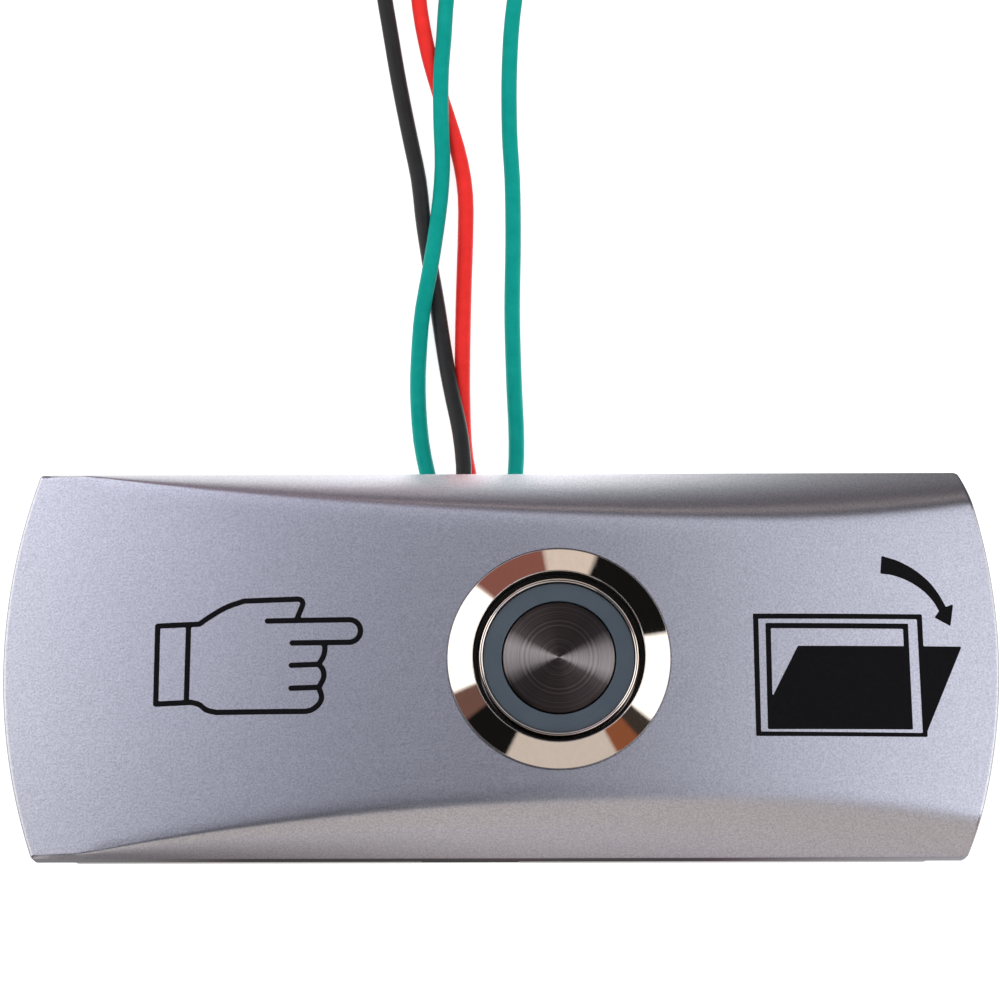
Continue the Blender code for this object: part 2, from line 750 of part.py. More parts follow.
def make_tube(name, points, radius, material):
    curve = bpy.data.curves.new(name, "CURVE")
    curve.dimensions = "3D"
    curve.bevel_depth = radius * MM
    curve.bevel_resolution = 2
    curve.use_fill_caps = True
    spline = curve.splines.new("POLY")
    spline.points.add(len(points) - 1)
    for target, point in zip(spline.points, points):
        target.co = (*(point * MM), 1.0)
    curve.materials.append(material)
    tube = bpy.data.objects.new(name, curve)
    bpy.context.scene.collection.objects.link(tube)


def inner_route(lead):
    """Down out of the sleeve, over in one bend, and along the box's floor to the notch."""
    pin = Vector((SWITCH_X + lead["pin"][0], SWITCH_Y + lead["pin"][1], 0.0))
    first = Vector((*lead["inside"][0], 0.0))
    heading = (first - pin).normalized()
    route = [pin + Vector((0.0, 0.0, z)) for z in (5.0, 4.55)]
    for ahead, z in ((0.35, 3.6), (1.1, 2.95), (2.1, INNER_Z)):
        route.append(pin + heading * ahead + Vector((0.0, 0.0, z)))
    route += [Vector((x, y, INNER_Z)) for x, y in lead["inside"]]
    route.append(Vector((lead["slot_x"], EXIT_Y - 1.8, EXIT_Z + 0.2)))
    route.append(Vector((lead["slot_x"], EXIT_Y, EXIT_Z)))
    return route


def make_lead(name, lead, materials):
    """One lead: sleeve on its pin, fixed stretch in the box, free stretch outside and bare end."""
    colour = materials["lead_" + name.split("_")[0]]
    pin = (SWITCH_X + lead["pin"][0], SWITCH_Y + lead["pin"][1])
    sleeve = [(1.2, 4.6), (1.45, 4.6), (1.45, 8.7), (1.2, 8.7)]
    turned("heat_shrink_" + name, sleeve, materials["black_plastic"], centre=pin, sides=16)
    inner = evenly_spaced(smooth_path(inner_route(lead)), INNER_SPACING)
    make_tube("inner_lead_" + name, inner, LEAD_R, colour)
    start = (lead["slot_x"], EXIT_Y + LEAD_GAP, EXIT_Z)
    insulated = LEAD_LENGTH - BARE_LENGTH
    outer = evenly_spaced(smooth_path([start, *lead["outside"]]), POINT_SPACING, insulated)
    make_tube("lead_" + name, outer, LEAD_R, colour)
    heading = (outer[-1] - outer[-2]).normalized()
    bare = [outer[-1] + heading * reach for reach in (LEAD_GAP, BARE_LENGTH)]
    make_tube("lead_end_" + name, bare, BARE_R, materials["tin"])


def build():
    clear_scene()
    materials = make_materials()
    make_faceplate(materials)
    make_back_box(materials)
    for side in (-1, 1):
        make_cover_screw(side, materials)
    make_switch_body(materials)
    make_o_ring(materials)
    make_nut(materials)
    make_actuator_sleeve(materials)
    make_light_ring(materials)
    make_centre_cap(materials)
    make_plunger(materials)
    make_contact_bridge(materials)
    make_return_spring(materials)
    make_contact_carrier(materials)
    make_led_board(materials)
    make_fixed_contacts(materials)
    make_led_pins(materials)
    make_terminal_base(materials)
    for name, lead in LEADS.items():
        make_lead(name, lead, materials)


build()
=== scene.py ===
"""The door exit button's final look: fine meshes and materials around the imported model.

Lengths are in millimetres and are turned into metres where a mesh is made. The object lies on its back,
its front faces +Z and its leads leave towards +Y.
"""

import math

import bmesh
import bpy
import numpy as np
from mathutils import Matrix, Vector
from mathutils.geometry import interpolate_bezier


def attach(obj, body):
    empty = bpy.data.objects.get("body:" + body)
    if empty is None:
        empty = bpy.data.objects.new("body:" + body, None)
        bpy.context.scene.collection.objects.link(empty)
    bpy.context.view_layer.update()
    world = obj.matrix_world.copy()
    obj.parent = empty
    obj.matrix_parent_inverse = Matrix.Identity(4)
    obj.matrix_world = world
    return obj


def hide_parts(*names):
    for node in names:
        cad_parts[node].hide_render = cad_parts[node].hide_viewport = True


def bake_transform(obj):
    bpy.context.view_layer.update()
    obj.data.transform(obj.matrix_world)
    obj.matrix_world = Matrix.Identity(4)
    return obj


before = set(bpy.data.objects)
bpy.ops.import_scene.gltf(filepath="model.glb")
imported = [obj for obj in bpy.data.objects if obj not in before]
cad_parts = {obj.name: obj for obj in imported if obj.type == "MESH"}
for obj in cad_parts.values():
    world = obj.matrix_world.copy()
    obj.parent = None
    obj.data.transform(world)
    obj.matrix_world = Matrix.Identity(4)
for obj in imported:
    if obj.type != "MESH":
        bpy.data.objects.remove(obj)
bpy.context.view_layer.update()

MM = 0.001

# Faceplate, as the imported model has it
LENGTH = 81.6
WIDTH = 32.0
END_BOW = 2.8
PLATE_WALL = 1.6
ROOF = 1.4
SKIRT_Z = 16.5
EDGE_Z = 18.8
CROWN = (4.9, 4.6, 43.2, 47.4, -1.0)
FLANK = (4.72, 21.2, 56.9, 31.2, 0.3)
EDGE_RADIUS = 0.3
CORNER_RADIUS = 0.33
CREASE_BLEND = 0.12
RIM_CHAMFER = 0.15

# Switch
SWITCH_X = 4.9
SWITCH_Y = -0.4
SWITCH = (SWITCH_X, SWITCH_Y)
SEAT_Z = 23.1
BEZEL_R = 9.0
BEZEL_TOP = 25.0
MOUTH_R = 6.95
BARREL_R = 8.0
BOSS_R = 11.0
BOSS_BOTTOM = 21.1
SLEEVE_R = 6.45
SLEEVE_TOP = 24.5
RING_R = 5.95
RING_TOP = 24.1
CAP_R = 4.5
CAP_TOP = 24.3
SPRING_FOOT = 15.35
SPRING_HEAD = 18.85
SPRING_R = 3.2
SPRING_WIRE = 0.4

# Box
BOX_INSET = 1.9
BOX_WALL = 1.6
BOX_TOP = 17.0
CABLE_HOLE = (-16.0, 5.0)
WALL_SLOT_X = 28.0
NOTCH_X = -2.6
NOTCH_WIDTH = 8.4
NOTCH_TOP = 4.9
SCREW_Z = 10.0
LUG_X = 33.6
LUG_END = 36.6
CUT = 3.0

# Leads
LEAD_R = 0.7
LEAD_LENGTH = 100.0
BARE_LENGTH = 5.0
LEAD_GAP = 0.3
EXIT_Y = WIDTH / 2 - BOX_INSET
EXIT_Z = 2.3
INNER_Z = 2.7
TABLE_Z = 0.75

# Points of a free lead with no height given lie on the table
LEADS = {
    "green_left": {
        "pin": (-3.0, 0.0),
        "slot_x": -5.1,
        "inside": [(-0.6, 4.2), (-3.4, 8.6)],
        "outside": [
            (-5.4, 16.6, 1.65), (-6.25, 19.6, 0.9), (-6.95, 23.2), (-7.25, 27.6), (-7.15, 31.2, 0.86),
            (-6.85, 34.6, 1.6), (-6.15, 38.4, 2.35), (-5.6, 42.4, 1.65), (-5.25, 45.8, 1.0),
            (-5.1, 48.8, 1.35), (-5.2, 51.6, 2.0), (-5.25, 54.6, 2.35), (-5.2, 57.4, 2.0),
            (-5.0, 60.4, 1.2), (-4.8, 64.0), (-4.2, 69.4), (-2.3, 76.0), (1.7, 82.0), (7.5, 86.2),
            (14.4, 88.0), (21.6, 87.2), (28.4, 84.4), (34.8, 80.8),
        ],
    },
    "black": {
        "pin": (0.0, -4.3),
        "slot_x": -3.35,
        "inside": [(4.5, -1.3), (3.0, 2.6), (0.3, 6.8), (-2.2, 10.2)],
        "outside": [
            (-3.2, 17.0, 2.45), (-3.15, 20.2, 2.45), (-3.5, 23.6, 2.3), (-4.15, 26.8, 1.88),
            (-4.7, 29.8, 1.28), (-5.15, 32.8, 0.86), (-5.6, 35.8), (-6.15, 39.0), (-6.8, 43.2),
            (-7.25, 47.2), (-8.1, 51.4), (-9.1, 56.6), (-10.2, 63.2), (-11.3, 69.2), (-13.8, 75.2),
            (-18.2, 79.8), (-24.2, 82.0), (-30.2, 81.0), (-34.8, 77.4), (-37.4, 72.2), (-38.2, 66.0),
        ],
    },
    "red": {
        "pin": (0.0, 4.3),
        "slot_x": -1.6,
        "inside": [(3.0, 7.0), (-0.2, 10.0)],
        "outside": [
            (-1.85, 16.3, 1.4), (-2.5, 18.9, 0.84), (-3.1, 22.2), (-3.3, 26.6), (-3.3, 31.4), (-3.2, 36.8),
            (-3.05, 41.8), (-3.05, 45.6), (-3.5, 48.8), (-4.3, 51.8), (-5.3, 55.0), (-6.4, 59.0),
            (-7.2, 63.4), (-7.8, 69.4), (-9.4, 75.6), (-12.9, 81.2), (-18.2, 85.0), (-24.6, 86.2),
            (-30.8, 84.8), (-36.0, 81.0), (-39.6, 75.6),
        ],
    },
    "green_right": {
        "pin": (3.0, 0.0),
        "slot_x": 0.15,
        "inside": [(7.6, 3.6), (5.8, 7.0), (2.8, 9.6)],
        "outside": [
            (0.55, 16.6, 1.65), (1.3, 19.6, 0.9), (1.45, 23.4), (1.25, 28.4), (1.1, 34.8), (1.2, 41.2),
            (1.15, 46.8), (0.9, 51.6), (0.9, 57.6), (1.3, 63.4), (2.4, 69.4), (4.8, 75.4), (9.1, 80.0),
            (14.8, 82.2), (21.0, 81.6), (26.2, 78.4), (29.4, 73.4), (30.6, 67.4),
        ],
    },
}


# ---- camera

def make_camera():
    """Nearly overhead, a little towards the object's lower long edge."""
    data = bpy.data.cameras.new("camera")
    data.sensor_width = 36.0
    data.lens = 134.5
    data.clip_start = 0.01
    camera = bpy.data.objects.new("camera", data)
    turn = Matrix.Rotation(0.217, 4, "X") @ Matrix.Rotation(0.007, 4, "Y") @ Matrix.Rotation(-0.003, 4, "Z")
    place = Vector((2.294, -52.864, 321.135)) * MM
    camera.matrix_world = Matrix.Translation(place) @ turn
    bpy.context.scene.collection.objects.link(camera)
    bpy.context.scene.camera = camera


# ---- material helpers

def add_node(tree, kind, inputs=(), **settings):
    """Adds a node, changes its settings and fills its inputs in order; a None is skipped."""
    node = tree.nodes.new("ShaderNode" + kind)
    for name, value in settings.items():
        setattr(node, name, value)
    for socket, value in zip(node.inputs, inputs):
        if isinstance(value, bpy.types.NodeSocket):
            tree.links.new(value, socket)
        elif value is not None:
            socket.default_value = value
    return node


def new_material(name, **sockets):
    """A Principled material whose even values are set on the shader's own sockets."""
    material = bpy.data.materials.new(name)
    material.use_nodes = True
    tree = material.node_tree
    shader = tree.nodes["Principled BSDF"]
    for socket, value in sockets.items():
        shader.inputs[socket.replace("_", " ")].default_value = value
    return material, tree, shader


def calculate(tree, operation, *values):
    return add_node(tree, "Math", values, operation=operation).outputs[0]


def object_coordinates(tree, stretch=(1.0, 1.0, 1.0)):
    coordinates = add_node(tree, "TexCoord").outputs["Object"]
    return add_node(tree, "Mapping", [coordinates, None, None, stretch]).outputs[0]


def noise(tree, coordinates, scale, detail=2.0, roughness=0.5):
    node = add_node(tree, "TexNoise", [coordinates])
    node.inputs["Scale"].default_value = scale
    node.inputs["Detail"].default_value = detail
    node.inputs["Roughness"].default_value = roughness
    return node.outputs[0]


def spread(tree, value, low, high, start=0.3, stop=0.7):
    """Maps a pattern's value from start..stop to low..high."""
    return add_node(tree, "MapRange", [value, start, stop, low, high]).outputs[0]


def mix_colours(tree, share, first, second):
    node = add_node(tree, "Mix", data_type="RGBA")
    for index, value in ((0, share), (6, first), (7, second)):
        if isinstance(value, bpy.types.NodeSocket):
            tree.links.new(value, node.inputs[index])
        elif index:
            node.inputs[index].default_value = (*value, 1.0)
        else:
            node.inputs[index].default_value = value
    return node.outputs[2]


def vector(tree, operation, *values):
    output = "Value" if operation in ("LENGTH", "DISTANCE") else "Vector"
    return add_node(tree, "VectorMath", values, operation=operation).outputs[output]


def feed(tree, shader, **sockets):
    for name, value in sockets.items():
        tree.links.new(value, shader.inputs[name.replace("_", " ")])


def bump(tree, height, distance, strength=1.0, normal=None):
    node = add_node(tree, "Bump")
    node.inputs["Strength"].default_value = strength
    node.inputs["Distance"].default_value = distance
    tree.links.new(height, node.inputs["Height"])
    if normal:
        tree.links.new(normal, node.inputs["Normal"])
    return node.outputs[0]


# ---- materials

def satin_metal():
    """Pearl-plated casting: fine grain, faint lengthwise brush marks and slow shifts of tone."""
    material, tree, shader = new_material("satin_plating", Metallic=1.0)
    flat = object_coordinates(tree)
    grain = noise(tree, flat, 6500.0, 2.0, 0.7)
    brushed = noise(tree, object_coordinates(tree, (0.06, 1.0, 1.0)), 3400.0, 3.0, 0.6)
    clouds = noise(tree, flat, 90.0, 3.0)
    tone = mix_colours(tree, spread(tree, clouds, 0.0, 1.0), (0.72, 0.72, 0.77), (0.75, 0.75, 0.80))
    dark = mix_colours(tree, spread(tree, grain, 0.0, 0.75, 0.36, 0.66), tone, (0.46, 0.46, 0.50))
    relief = bump(tree, brushed, 0.000002, 1.0, bump(tree, grain, 0.000008))
    feed(tree, shader, Base_Color=dark, Roughness=spread(tree, brushed, 0.28, 0.32), Normal=relief)
    return material


def mottled(name, pattern, colours, roughness, relief, **sockets):
    """Tone, roughness and surface all follow one pattern, given as (scale, detail, fineness, stretch)."""
    material, tree, shader = new_material(name, **sockets)
    scale, detail, fineness, *stretch = pattern
    value = noise(tree, object_coordinates(tree, *stretch), scale, detail, fineness)
    tone = mix_colours(tree, spread(tree, value, 0.0, 1.0), *colours)
    rough = spread(tree, value, *roughness)
    feed(tree, shader, Base_Color=tone, Roughness=rough, Normal=bump(tree, value, relief))
    return material


def polished_nickel():
    """The bezel's mirror finish with a few hairline marks."""
    marks = (2400.0, 4.0, 0.7, (1.0, 0.25, 1.0))
    colours = (0.95, 0.86, 0.77), (0.90, 0.81, 0.72)
    return mottled("polished_nickel", marks, colours, (0.02, 0.07), 0.0000008, Metallic=1.0)


def spun_steel():
    """The cap's face, turned on a lathe: fine rings about the switch's axis, with a bow-tie highlight
    painted into its colour.
    """
    settings = {"Metallic": 1.0, "Anisotropic": 0.97, "Anisotropic_Rotation": 0.25}
    material, tree, shader = new_material("spun_face", **settings)
    coordinates = add_node(tree, "TexCoord").outputs["Object"]
    axis = (SWITCH_X * MM, SWITCH_Y * MM, 0.0)
    level = vector(tree, "MULTIPLY", vector(tree, "SUBTRACT", coordinates, axis), (1.0, 1.0, 0.0))
    radius = vector(tree, "LENGTH", level)
    rings = add_node(tree, "TexNoise", noise_dimensions="1D")
    tree.links.new(radius, rings.inputs["W"])
    rings.inputs["Scale"].default_value = 5200.0
    rings.inputs["Detail"].default_value = 4.0
    across = add_node(tree, "SeparateXYZ", [level]).outputs[0]
    # Painted highlight: the colour is bright towards ±X of the axis and dark towards ±Y, in a bow-tie.
    ahead = calculate(tree, "ABSOLUTE", calculate(tree, "DIVIDE", across, radius))
    grooves = spread(tree, rings.outputs[0], -0.25, 0.25)
    painted_bowtie_highlight = calculate(tree, "ADD", spread(tree, ahead, 0.0, 0.85, 0.85, 0.97), grooves)
    tone = mix_colours(tree, painted_bowtie_highlight, (0.085, 0.068, 0.064), (0.40, 0.36, 0.35))
    rough = spread(tree, rings.outputs[0], 0.38, 0.46)
    tangent = add_node(tree, "Tangent", direction_type="RADIAL", axis="Z").outputs[0]
    relief = bump(tree, rings.outputs[0], 0.000002)
    feed(tree, shader, Base_Color=tone, Roughness=rough, Tangent=tangent, Normal=relief)
    return material


def light_guide():
    """Frosted smoke-blue plastic, unlit."""
    material, tree, shader = new_material("light_guide_plastic", Coat_Weight=0.25, Coat_Roughness=0.12)
    clouds = noise(tree, object_coordinates(tree), 240.0, 2.0)
    tone = mix_colours(tree, spread(tree, clouds, 0.0, 1.0), (0.052, 0.074, 0.098), (0.062, 0.084, 0.108))
    feed(tree, shader, Base_Color=tone, Roughness=spread(tree, clouds, 0.35, 0.45))
    shader.inputs["Subsurface Weight"].default_value = 0.3
    shader.inputs["Subsurface Radius"].default_value = (0.5, 0.6, 0.7)
    shader.inputs["Subsurface Scale"].default_value = 0.0006
    return material


def metal(name, colour, roughness, scale=1800.0):
    """A plain machined or plated metal with a little unevenness."""
    darker = tuple(channel * 0.88 for channel in colour)
    limits = (roughness * 0.8, roughness * 1.3)
    return mottled(name, (scale, 3.0, 0.6), (colour, darker), limits, 0.000003, Metallic=1.0)


def plastic(name, colour, roughness, scale=900.0, relief=0.000004, gloss=0.5):
    """A moulded or extruded plastic with a faint texture."""
    lighter = tuple(min(1.0, channel * 1.12 + 0.004) for channel in colour)
    limits = (roughness * 0.9, roughness * 1.15)
    return mottled(name, (scale, 3.0, 0.55), (colour, lighter), limits, relief, Specular_IOR_Level=gloss)


def printed_ink():
    """Screen-printed black, slightly uneven and satin."""
    colours = (0.002, 0.0015, 0.002), (0.005, 0.004, 0.005)
    grain = (3800.0, 3.0, 0.6)
    return mottled("printed_ink", grain, colours, (0.45, 0.6), 0.000003, Specular_IOR_Level=0.1)


def make_materials():
    return {
        "satin": satin_metal(),
        "nickel_polish": polished_nickel(), "spun": spun_steel(), "guide": light_guide(),
        "ink": printed_ink(),
        "steel": metal("machined_steel", (0.56, 0.55, 0.54), 0.26),
        "nickel": metal("nickel_plate", (0.62, 0.59, 0.54), 0.28),
        "brass": metal("brass_strip", (0.72, 0.54, 0.27), 0.28),
        "tin": metal("tinned_copper", (0.70, 0.69, 0.67), 0.24, 5200.0),
        "black": plastic("black_nylon", (0.022, 0.022, 0.024), 0.45),
        "natural": plastic("natural_nylon", (0.62, 0.58, 0.48), 0.45),
        "board": plastic("solder_mask", (0.02, 0.14, 0.06), 0.35),
        "chip": plastic("chip_phosphor", (0.80, 0.72, 0.38), 0.40, 2600.0),
        "rubber": plastic("nitrile_rubber", (0.018, 0.018, 0.018), 0.62, 2600.0),
        "lead_black": plastic("pvc_black", (0.018, 0.017, 0.018), 0.42, 700.0, 0.00001, 0.2),
        "lead_red": plastic("pvc_red", (0.80, 0.022, 0.018), 0.42, 700.0, 0.00001, 0.15),
        "lead_green": plastic("pvc_green", (0.0, 0.29, 0.245), 0.42, 700.0, 0.00001, 0.06),
        "mouth": plastic("near_black_mouth", (0.004, 0.004, 0.004), 0.5, 900.0, 0.000004, 0.2),
    }


# ---- mesh helpers

def make_object(name, bm, material=None, angle=30.0):
    """Turns a bmesh in millimetres into a smooth-shaded object in metres, sharp where it bends."""
    bmesh.ops.scale(bm, vec=(MM, MM, MM), verts=bm.verts)
    bmesh.ops.recalc_face_normals(bm, faces=bm.faces)
    mesh = bpy.data.meshes.new(name)
    bm.to_mesh(mesh)
    bm.free()
    mesh.shade_smooth()
    mesh.set_sharp_from_angle(angle=math.radians(angle))
    if material:
        mesh.materials.append(material)
    obj = bpy.data.objects.new(name, mesh)
    bpy.context.scene.collection.objects.link(obj)
    return obj


def settle(obj, angle=30.0):
    """Applies an object's modifiers and marks its sharp edges again."""
    evaluated = obj.evaluated_get(bpy.context.evaluated_depsgraph_get())
    mesh = bpy.data.meshes.new_from_object(evaluated)
    obj.modifiers.clear()
    obj.data = mesh
    mesh.shade_smooth()
    mesh.set_sharp_from_angle(angle=math.radians(angle))


def combine(obj, tools):
    """Applies exact booleans with (operation, tool) in order, and removes the tools."""
    for operation, tool in tools:
        modifier = obj.modifiers.new(tool.name, "BOOLEAN")
        modifier.operation = operation
        modifier.solver = "EXACT"
        modifier.object = tool
    settle(obj)
    for _, tool in tools:
        bpy.data.objects.remove(tool)


def ring_at(bm, centre, first, second, radius, sides):
    """A ring of points about a centre, in the plane of two directions."""
    turns = [math.tau * side / sides for side in range(sides)]
    return [bm.verts.new(centre + (first * math.cos(a) + second * math.sin(a)) * radius) for a in turns]


def stitch(bm, rings):
    """Joins each closed ring of points to the next with quads."""
    for low, high in zip(rings, rings[1:]):
        for i in range(len(low)):
            j = (i + 1) % len(low)
            bm.faces.new((low[i], low[j], high[j], high[i]))


def skin_rings(bm, rings):
    """Skins a row of rings as a closed tube."""
    bm.faces.new(rings[0])
    bm.faces.new(rings[-1])
    stitch(bm, rings)


def rounded(points, steps=4):
    """Makes each corner (a, b, radius) of a closed outline an arc, with a point close to either end."""
    found = []
    for i, point in enumerate(points):
        corner = Vector(point[:2])
        radius = point[2] if len(point) > 2 else 0.0
        if not radius:
            found.append(tuple(corner))
            continue
        before = (Vector(points[i - 1][:2]) - corner).normalized()
        after = (Vector(points[(i + 1) % len(points)][:2]) - corner).normalized()
        half = before.angle(after) / 2
        reach = radius / math.tan(half)
        centre = corner + (before + after).normalized() * (radius / math.sin(half))
        start = corner + before * reach - centre
        stop = corner + after * reach - centre
        found.append(tuple(corner + before * (reach + 0.01)))
        for step in range(steps + 1):
            found.append(tuple(centre + start.slerp(stop, step / steps) * radius))
        found.append(tuple(corner + after * (reach + 0.01)))
    return found


def turned(name, profile, material, sides=128, centre=SWITCH, axis_ends=False):
    """Turns a closed (radius, z) profile about an upright axis, which it may start and end on."""
    bm = bmesh.new()
    turns = [math.tau * side / sides for side in range(sides)]
    rings = []
    for radius, z in profile:
        if axis_ends and radius == 0.0:
            rings.append([bm.verts.new((*centre, z))])
            continue
        ring = [(centre[0] + radius * math.cos(a), centre[1] + radius * math.sin(a), z) for a in turns]
        rings.append([bm.verts.new(place) for place in ring])
    pairs = list(zip(rings, rings[1:]))
    if not axis_ends:
        pairs.append((rings[-1], rings[0]))
    for low, high in pairs:
        for i in range(sides):
            corners = [low[i % len(low)], low[(i + 1) % len(low)]]
            corners += [high[(i + 1) % len(high)], high[i % len(high)]]
            bm.faces.new(list(dict.fromkeys(corners)))
    return make_object(name, bm, material)


def prism(name, outline, low, high, axis="Z"):
    """Extrudes an outline along an axis."""
    def place(point, along):
        if axis == "X":
            return (along, point[0], point[1])
        return (point[0], point[1], along)

    bm = bmesh.new()
    loops = [[bm.verts.new(place(point, along)) for point in outline] for along in (low, high)]
    skin_rings(bm, loops)
    return make_object(name, bm)


def rectangle(x0, x1, y0, y1):
    return [(x0, y0), (x1, y0), (x1, y1), (x0, y1)]


def circle(x, y, radius, sides=64):
    turns = [math.tau * (i + 0.5) / sides for i in range(sides)]
    return [(x + radius * math.cos(a), y + radius * math.sin(a)) for a in turns]


def stand_in(piece, node, body="housing"):
    """The piece moves with the body and shows in place of the CAD node."""
    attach(piece, body)
    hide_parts(node)


# ---- faceplate

def arch(x, peak, middle, run_left, run_right, least):
    """A parabola either side of its peak, held to a least value."""
    run = np.where(x < middle, run_left, run_right)
    return np.maximum(least, peak * (1 - ((x - middle) / run) ** 2))


def face_height(x, y, half=WIDTH / 2):
    """Height of the crowned face with its rolled flanks; the crease between them is softly blended."""
    x, y = np.asarray(x, float), np.asarray(y, float)
    width = arch(x, *FLANK)
    share = (np.abs(y) - (half - width)) / width
    soft = 0.5 * (share + np.hypot(share, CREASE_BLEND))
    whole = 0.5 * (1 + math.hypot(1, CREASE_BLEND))
    drop = (0.45 * soft + 0.55 * soft**2) / (0.45 * whole + 0.55 * whole**2)
    return EDGE_Z + arch(x, *CROWN) * (1 - drop)


def end_x(y, inset):
    """How far the bowed end reaches along X at a given y."""
    half = WIDTH / 2
    radius = (half**2 + END_BOW**2) / (2 * END_BOW)
    return LENGTH / 2 - radius + np.sqrt((radius - inset) ** 2 - y**2)


def edge_stations(length, fine, fine_step, coarse_step):
    """Shares from -1 to 1 of a length, closely spaced near both ends."""
    near = [0.0, 0.08, 0.18, 0.32]
    while near[-1] < fine:
        near.append(near[-1] + fine_step)
    far = np.linspace(near[-1], length - near[-1], round((length - 2 * near[-1]) / coarse_step) + 1)
    places = near[:-1] + list(far) + [length - place for place in reversed(near[:-1])]
    return np.array(places) / length * 2 - 1


def plan_grid(u, inset, corner, outline_inset):
    """Grid points over the plate's inset plan, with rounded corners and rows along the creases."""
    half = WIDTH / 2 - inset
    width = arch(u * float(end_x(half, inset)), *FLANK)[:, None]
    band = np.maximum(1.15 * width, outline_inset + 0.3) - outline_inset
    flank = np.linspace(0.0, 1.0, 15)[:-1]
    crown = (half - band) * np.linspace(-1, 1, 49)
    y = np.hstack([band * flank - half, crown, half - band * flank[::-1]])
    share_x = u[:, None]
    from_end = (1 - np.abs(share_x)) * end_x(y, inset)
    from_side = half - np.abs(y)
    near = (from_end < corner) & (from_side < corner)
    p = np.where(near, (corner - from_end) / corner, 0.0)
    q = np.where(near, (corner - from_side) / corner, 0.0)
    pull = np.maximum(p, q) / np.maximum(np.hypot(p, q), 1e-9)
    from_end = np.where(near, corner * (1 - p * pull), from_end)
    from_side = np.where(near, corner * (1 - q * pull), from_side)
    y = np.sign(y) * (half - from_side)
    x = np.sign(share_x) * (end_x(y, inset) - from_end)
    return x, y


def border(rows, columns):
    """Grid indices round the edge, anticlockwise seen from above."""
    loop = [(i, 0) for i in range(rows)]
    loop += [(rows - 1, j) for j in range(1, columns)]
    loop += [(i, columns - 1) for i in range(rows - 2, -1, -1)]
    loop += [(0, j) for j in range(columns - 2, 0, -1)]
    return loop


def edge_rows(x, y):
    """From the grid's border outwards: over the rounded edge, down the side wall and under the rim."""
    line = np.stack([x, y], 1)
    along = np.roll(line, -1, 0) - np.roll(line, 1, 0)
    along /= np.linalg.norm(along, axis=1)[:, None]
    inward = np.stack([-along[:, 1], along[:, 0]], 1)
    outer = line - inward * EDGE_RADIUS
    probe = 0.04
    ahead = outer + inward * probe
    height = face_height(outer[:, 0], np.clip(outer[:, 1], -WIDTH / 2, WIDTH / 2))
    slope = (face_height(ahead[:, 0], ahead[:, 1]) - height) / probe
    tilt = np.arctan(slope)
    centre = height + slope * EDGE_RADIUS - EDGE_RADIUS / np.cos(tilt)
    rows = []
    steps = 5
    for step in range(steps + 1):
        turn = math.pi / 2 + tilt + (math.pi / 2 - tilt) * step / steps
        reach = EDGE_RADIUS * (1 + np.cos(turn))
        place = outer + inward * reach[:, None]
        rows.append(np.column_stack([place, centre + EDGE_RADIUS * np.sin(turn)]))
    for reach, z in ((0.0, SKIRT_Z + RIM_CHAMFER), (RIM_CHAMFER, SKIRT_Z)):
        rows.append(np.column_stack([outer + inward * reach, np.full(len(outer), z)]))
    return rows


def faceplate_skin(name, material):
    """The closed shell: fine face, rounded edges, side walls, rim and the hollow behind."""
    u = edge_stations(LENGTH, 1.0, 0.25, 0.6)
    x, y = plan_grid(u, EDGE_RADIUS, CORNER_RADIUS - EDGE_RADIUS, EDGE_RADIUS)
    inner_x, inner_y = plan_grid(u, PLATE_WALL, 0.02, 0.0)
    rows, columns = x.shape
    loop = border(rows, columns)
    bm = bmesh.new()

    def grid_of(gx, gy, gz):
        return [[bm.verts.new((gx[i, j], gy[i, j], gz[i, j])) for j in range(columns)] for i in range(rows)]

    top = grid_of(x, y, face_height(x, y))
    under = grid_of(inner_x, inner_y, face_height(inner_x, inner_y, WIDTH / 2 - PLATE_WALL) - ROOF)
    for sheet in (top, under):
        for i in range(rows - 1):
            for j in range(columns - 1):
                bm.faces.new((sheet[i][j], sheet[i + 1][j], sheet[i + 1][j + 1], sheet[i][j + 1]))
    picked = np.array(loop)
    edge = edge_rows(x[picked[:, 0], picked[:, 1]], y[picked[:, 0], picked[:, 1]])
    loops = [[top[i][j] for i, j in loop]]
    loops += [[bm.verts.new(place) for place in row] for row in edge]
    loops.append([bm.verts.new((inner_x[i, j], inner_y[i, j], SKIRT_Z)) for i, j in loop])
    loops.append([under[i][j] for i, j in loop])
    stitch(bm, loops)
    return make_object(name, bm, material)


def make_faceplate(materials):
    plate = faceplate_skin("faceplate_shell", materials["satin"])
    tools = [("UNION", prism("boss", circle(*SWITCH, BOSS_R, 96), BOSS_BOTTOM, SEAT_Z - 0.5))]
    for side in (-1, 1):
        ends = sorted((side * LUG_X, side * LUG_END))
        top = EDGE_Z - ROOF + float(max(arch(np.array(ends), *CROWN))) + 0.6
        tools.append(("UNION", prism(f"lug{side}", rectangle(*ends, -3.5, 3.5), 7.0, top)))
        reach = sorted((side * (LUG_X - CUT), side * (LUG_END + CUT / 2)))
        tools.append(("DIFFERENCE", prism(f"tapped{side}", circle(0, SCREW_Z, 1.3, 32), *reach, axis="X")))
    cuts = [("bore", BARREL_R + 0.15, BOSS_BOTTOM - CUT), ("seat", BEZEL_R + 0.12, SEAT_Z)]
    for name, radius, low in cuts:
        tools.append(("DIFFERENCE", prism(name, circle(*SWITCH, radius, 128), low, 30.0)))
    combine(plate, tools)
    stand_in(plate, "faceplate")


# ---- printed signs

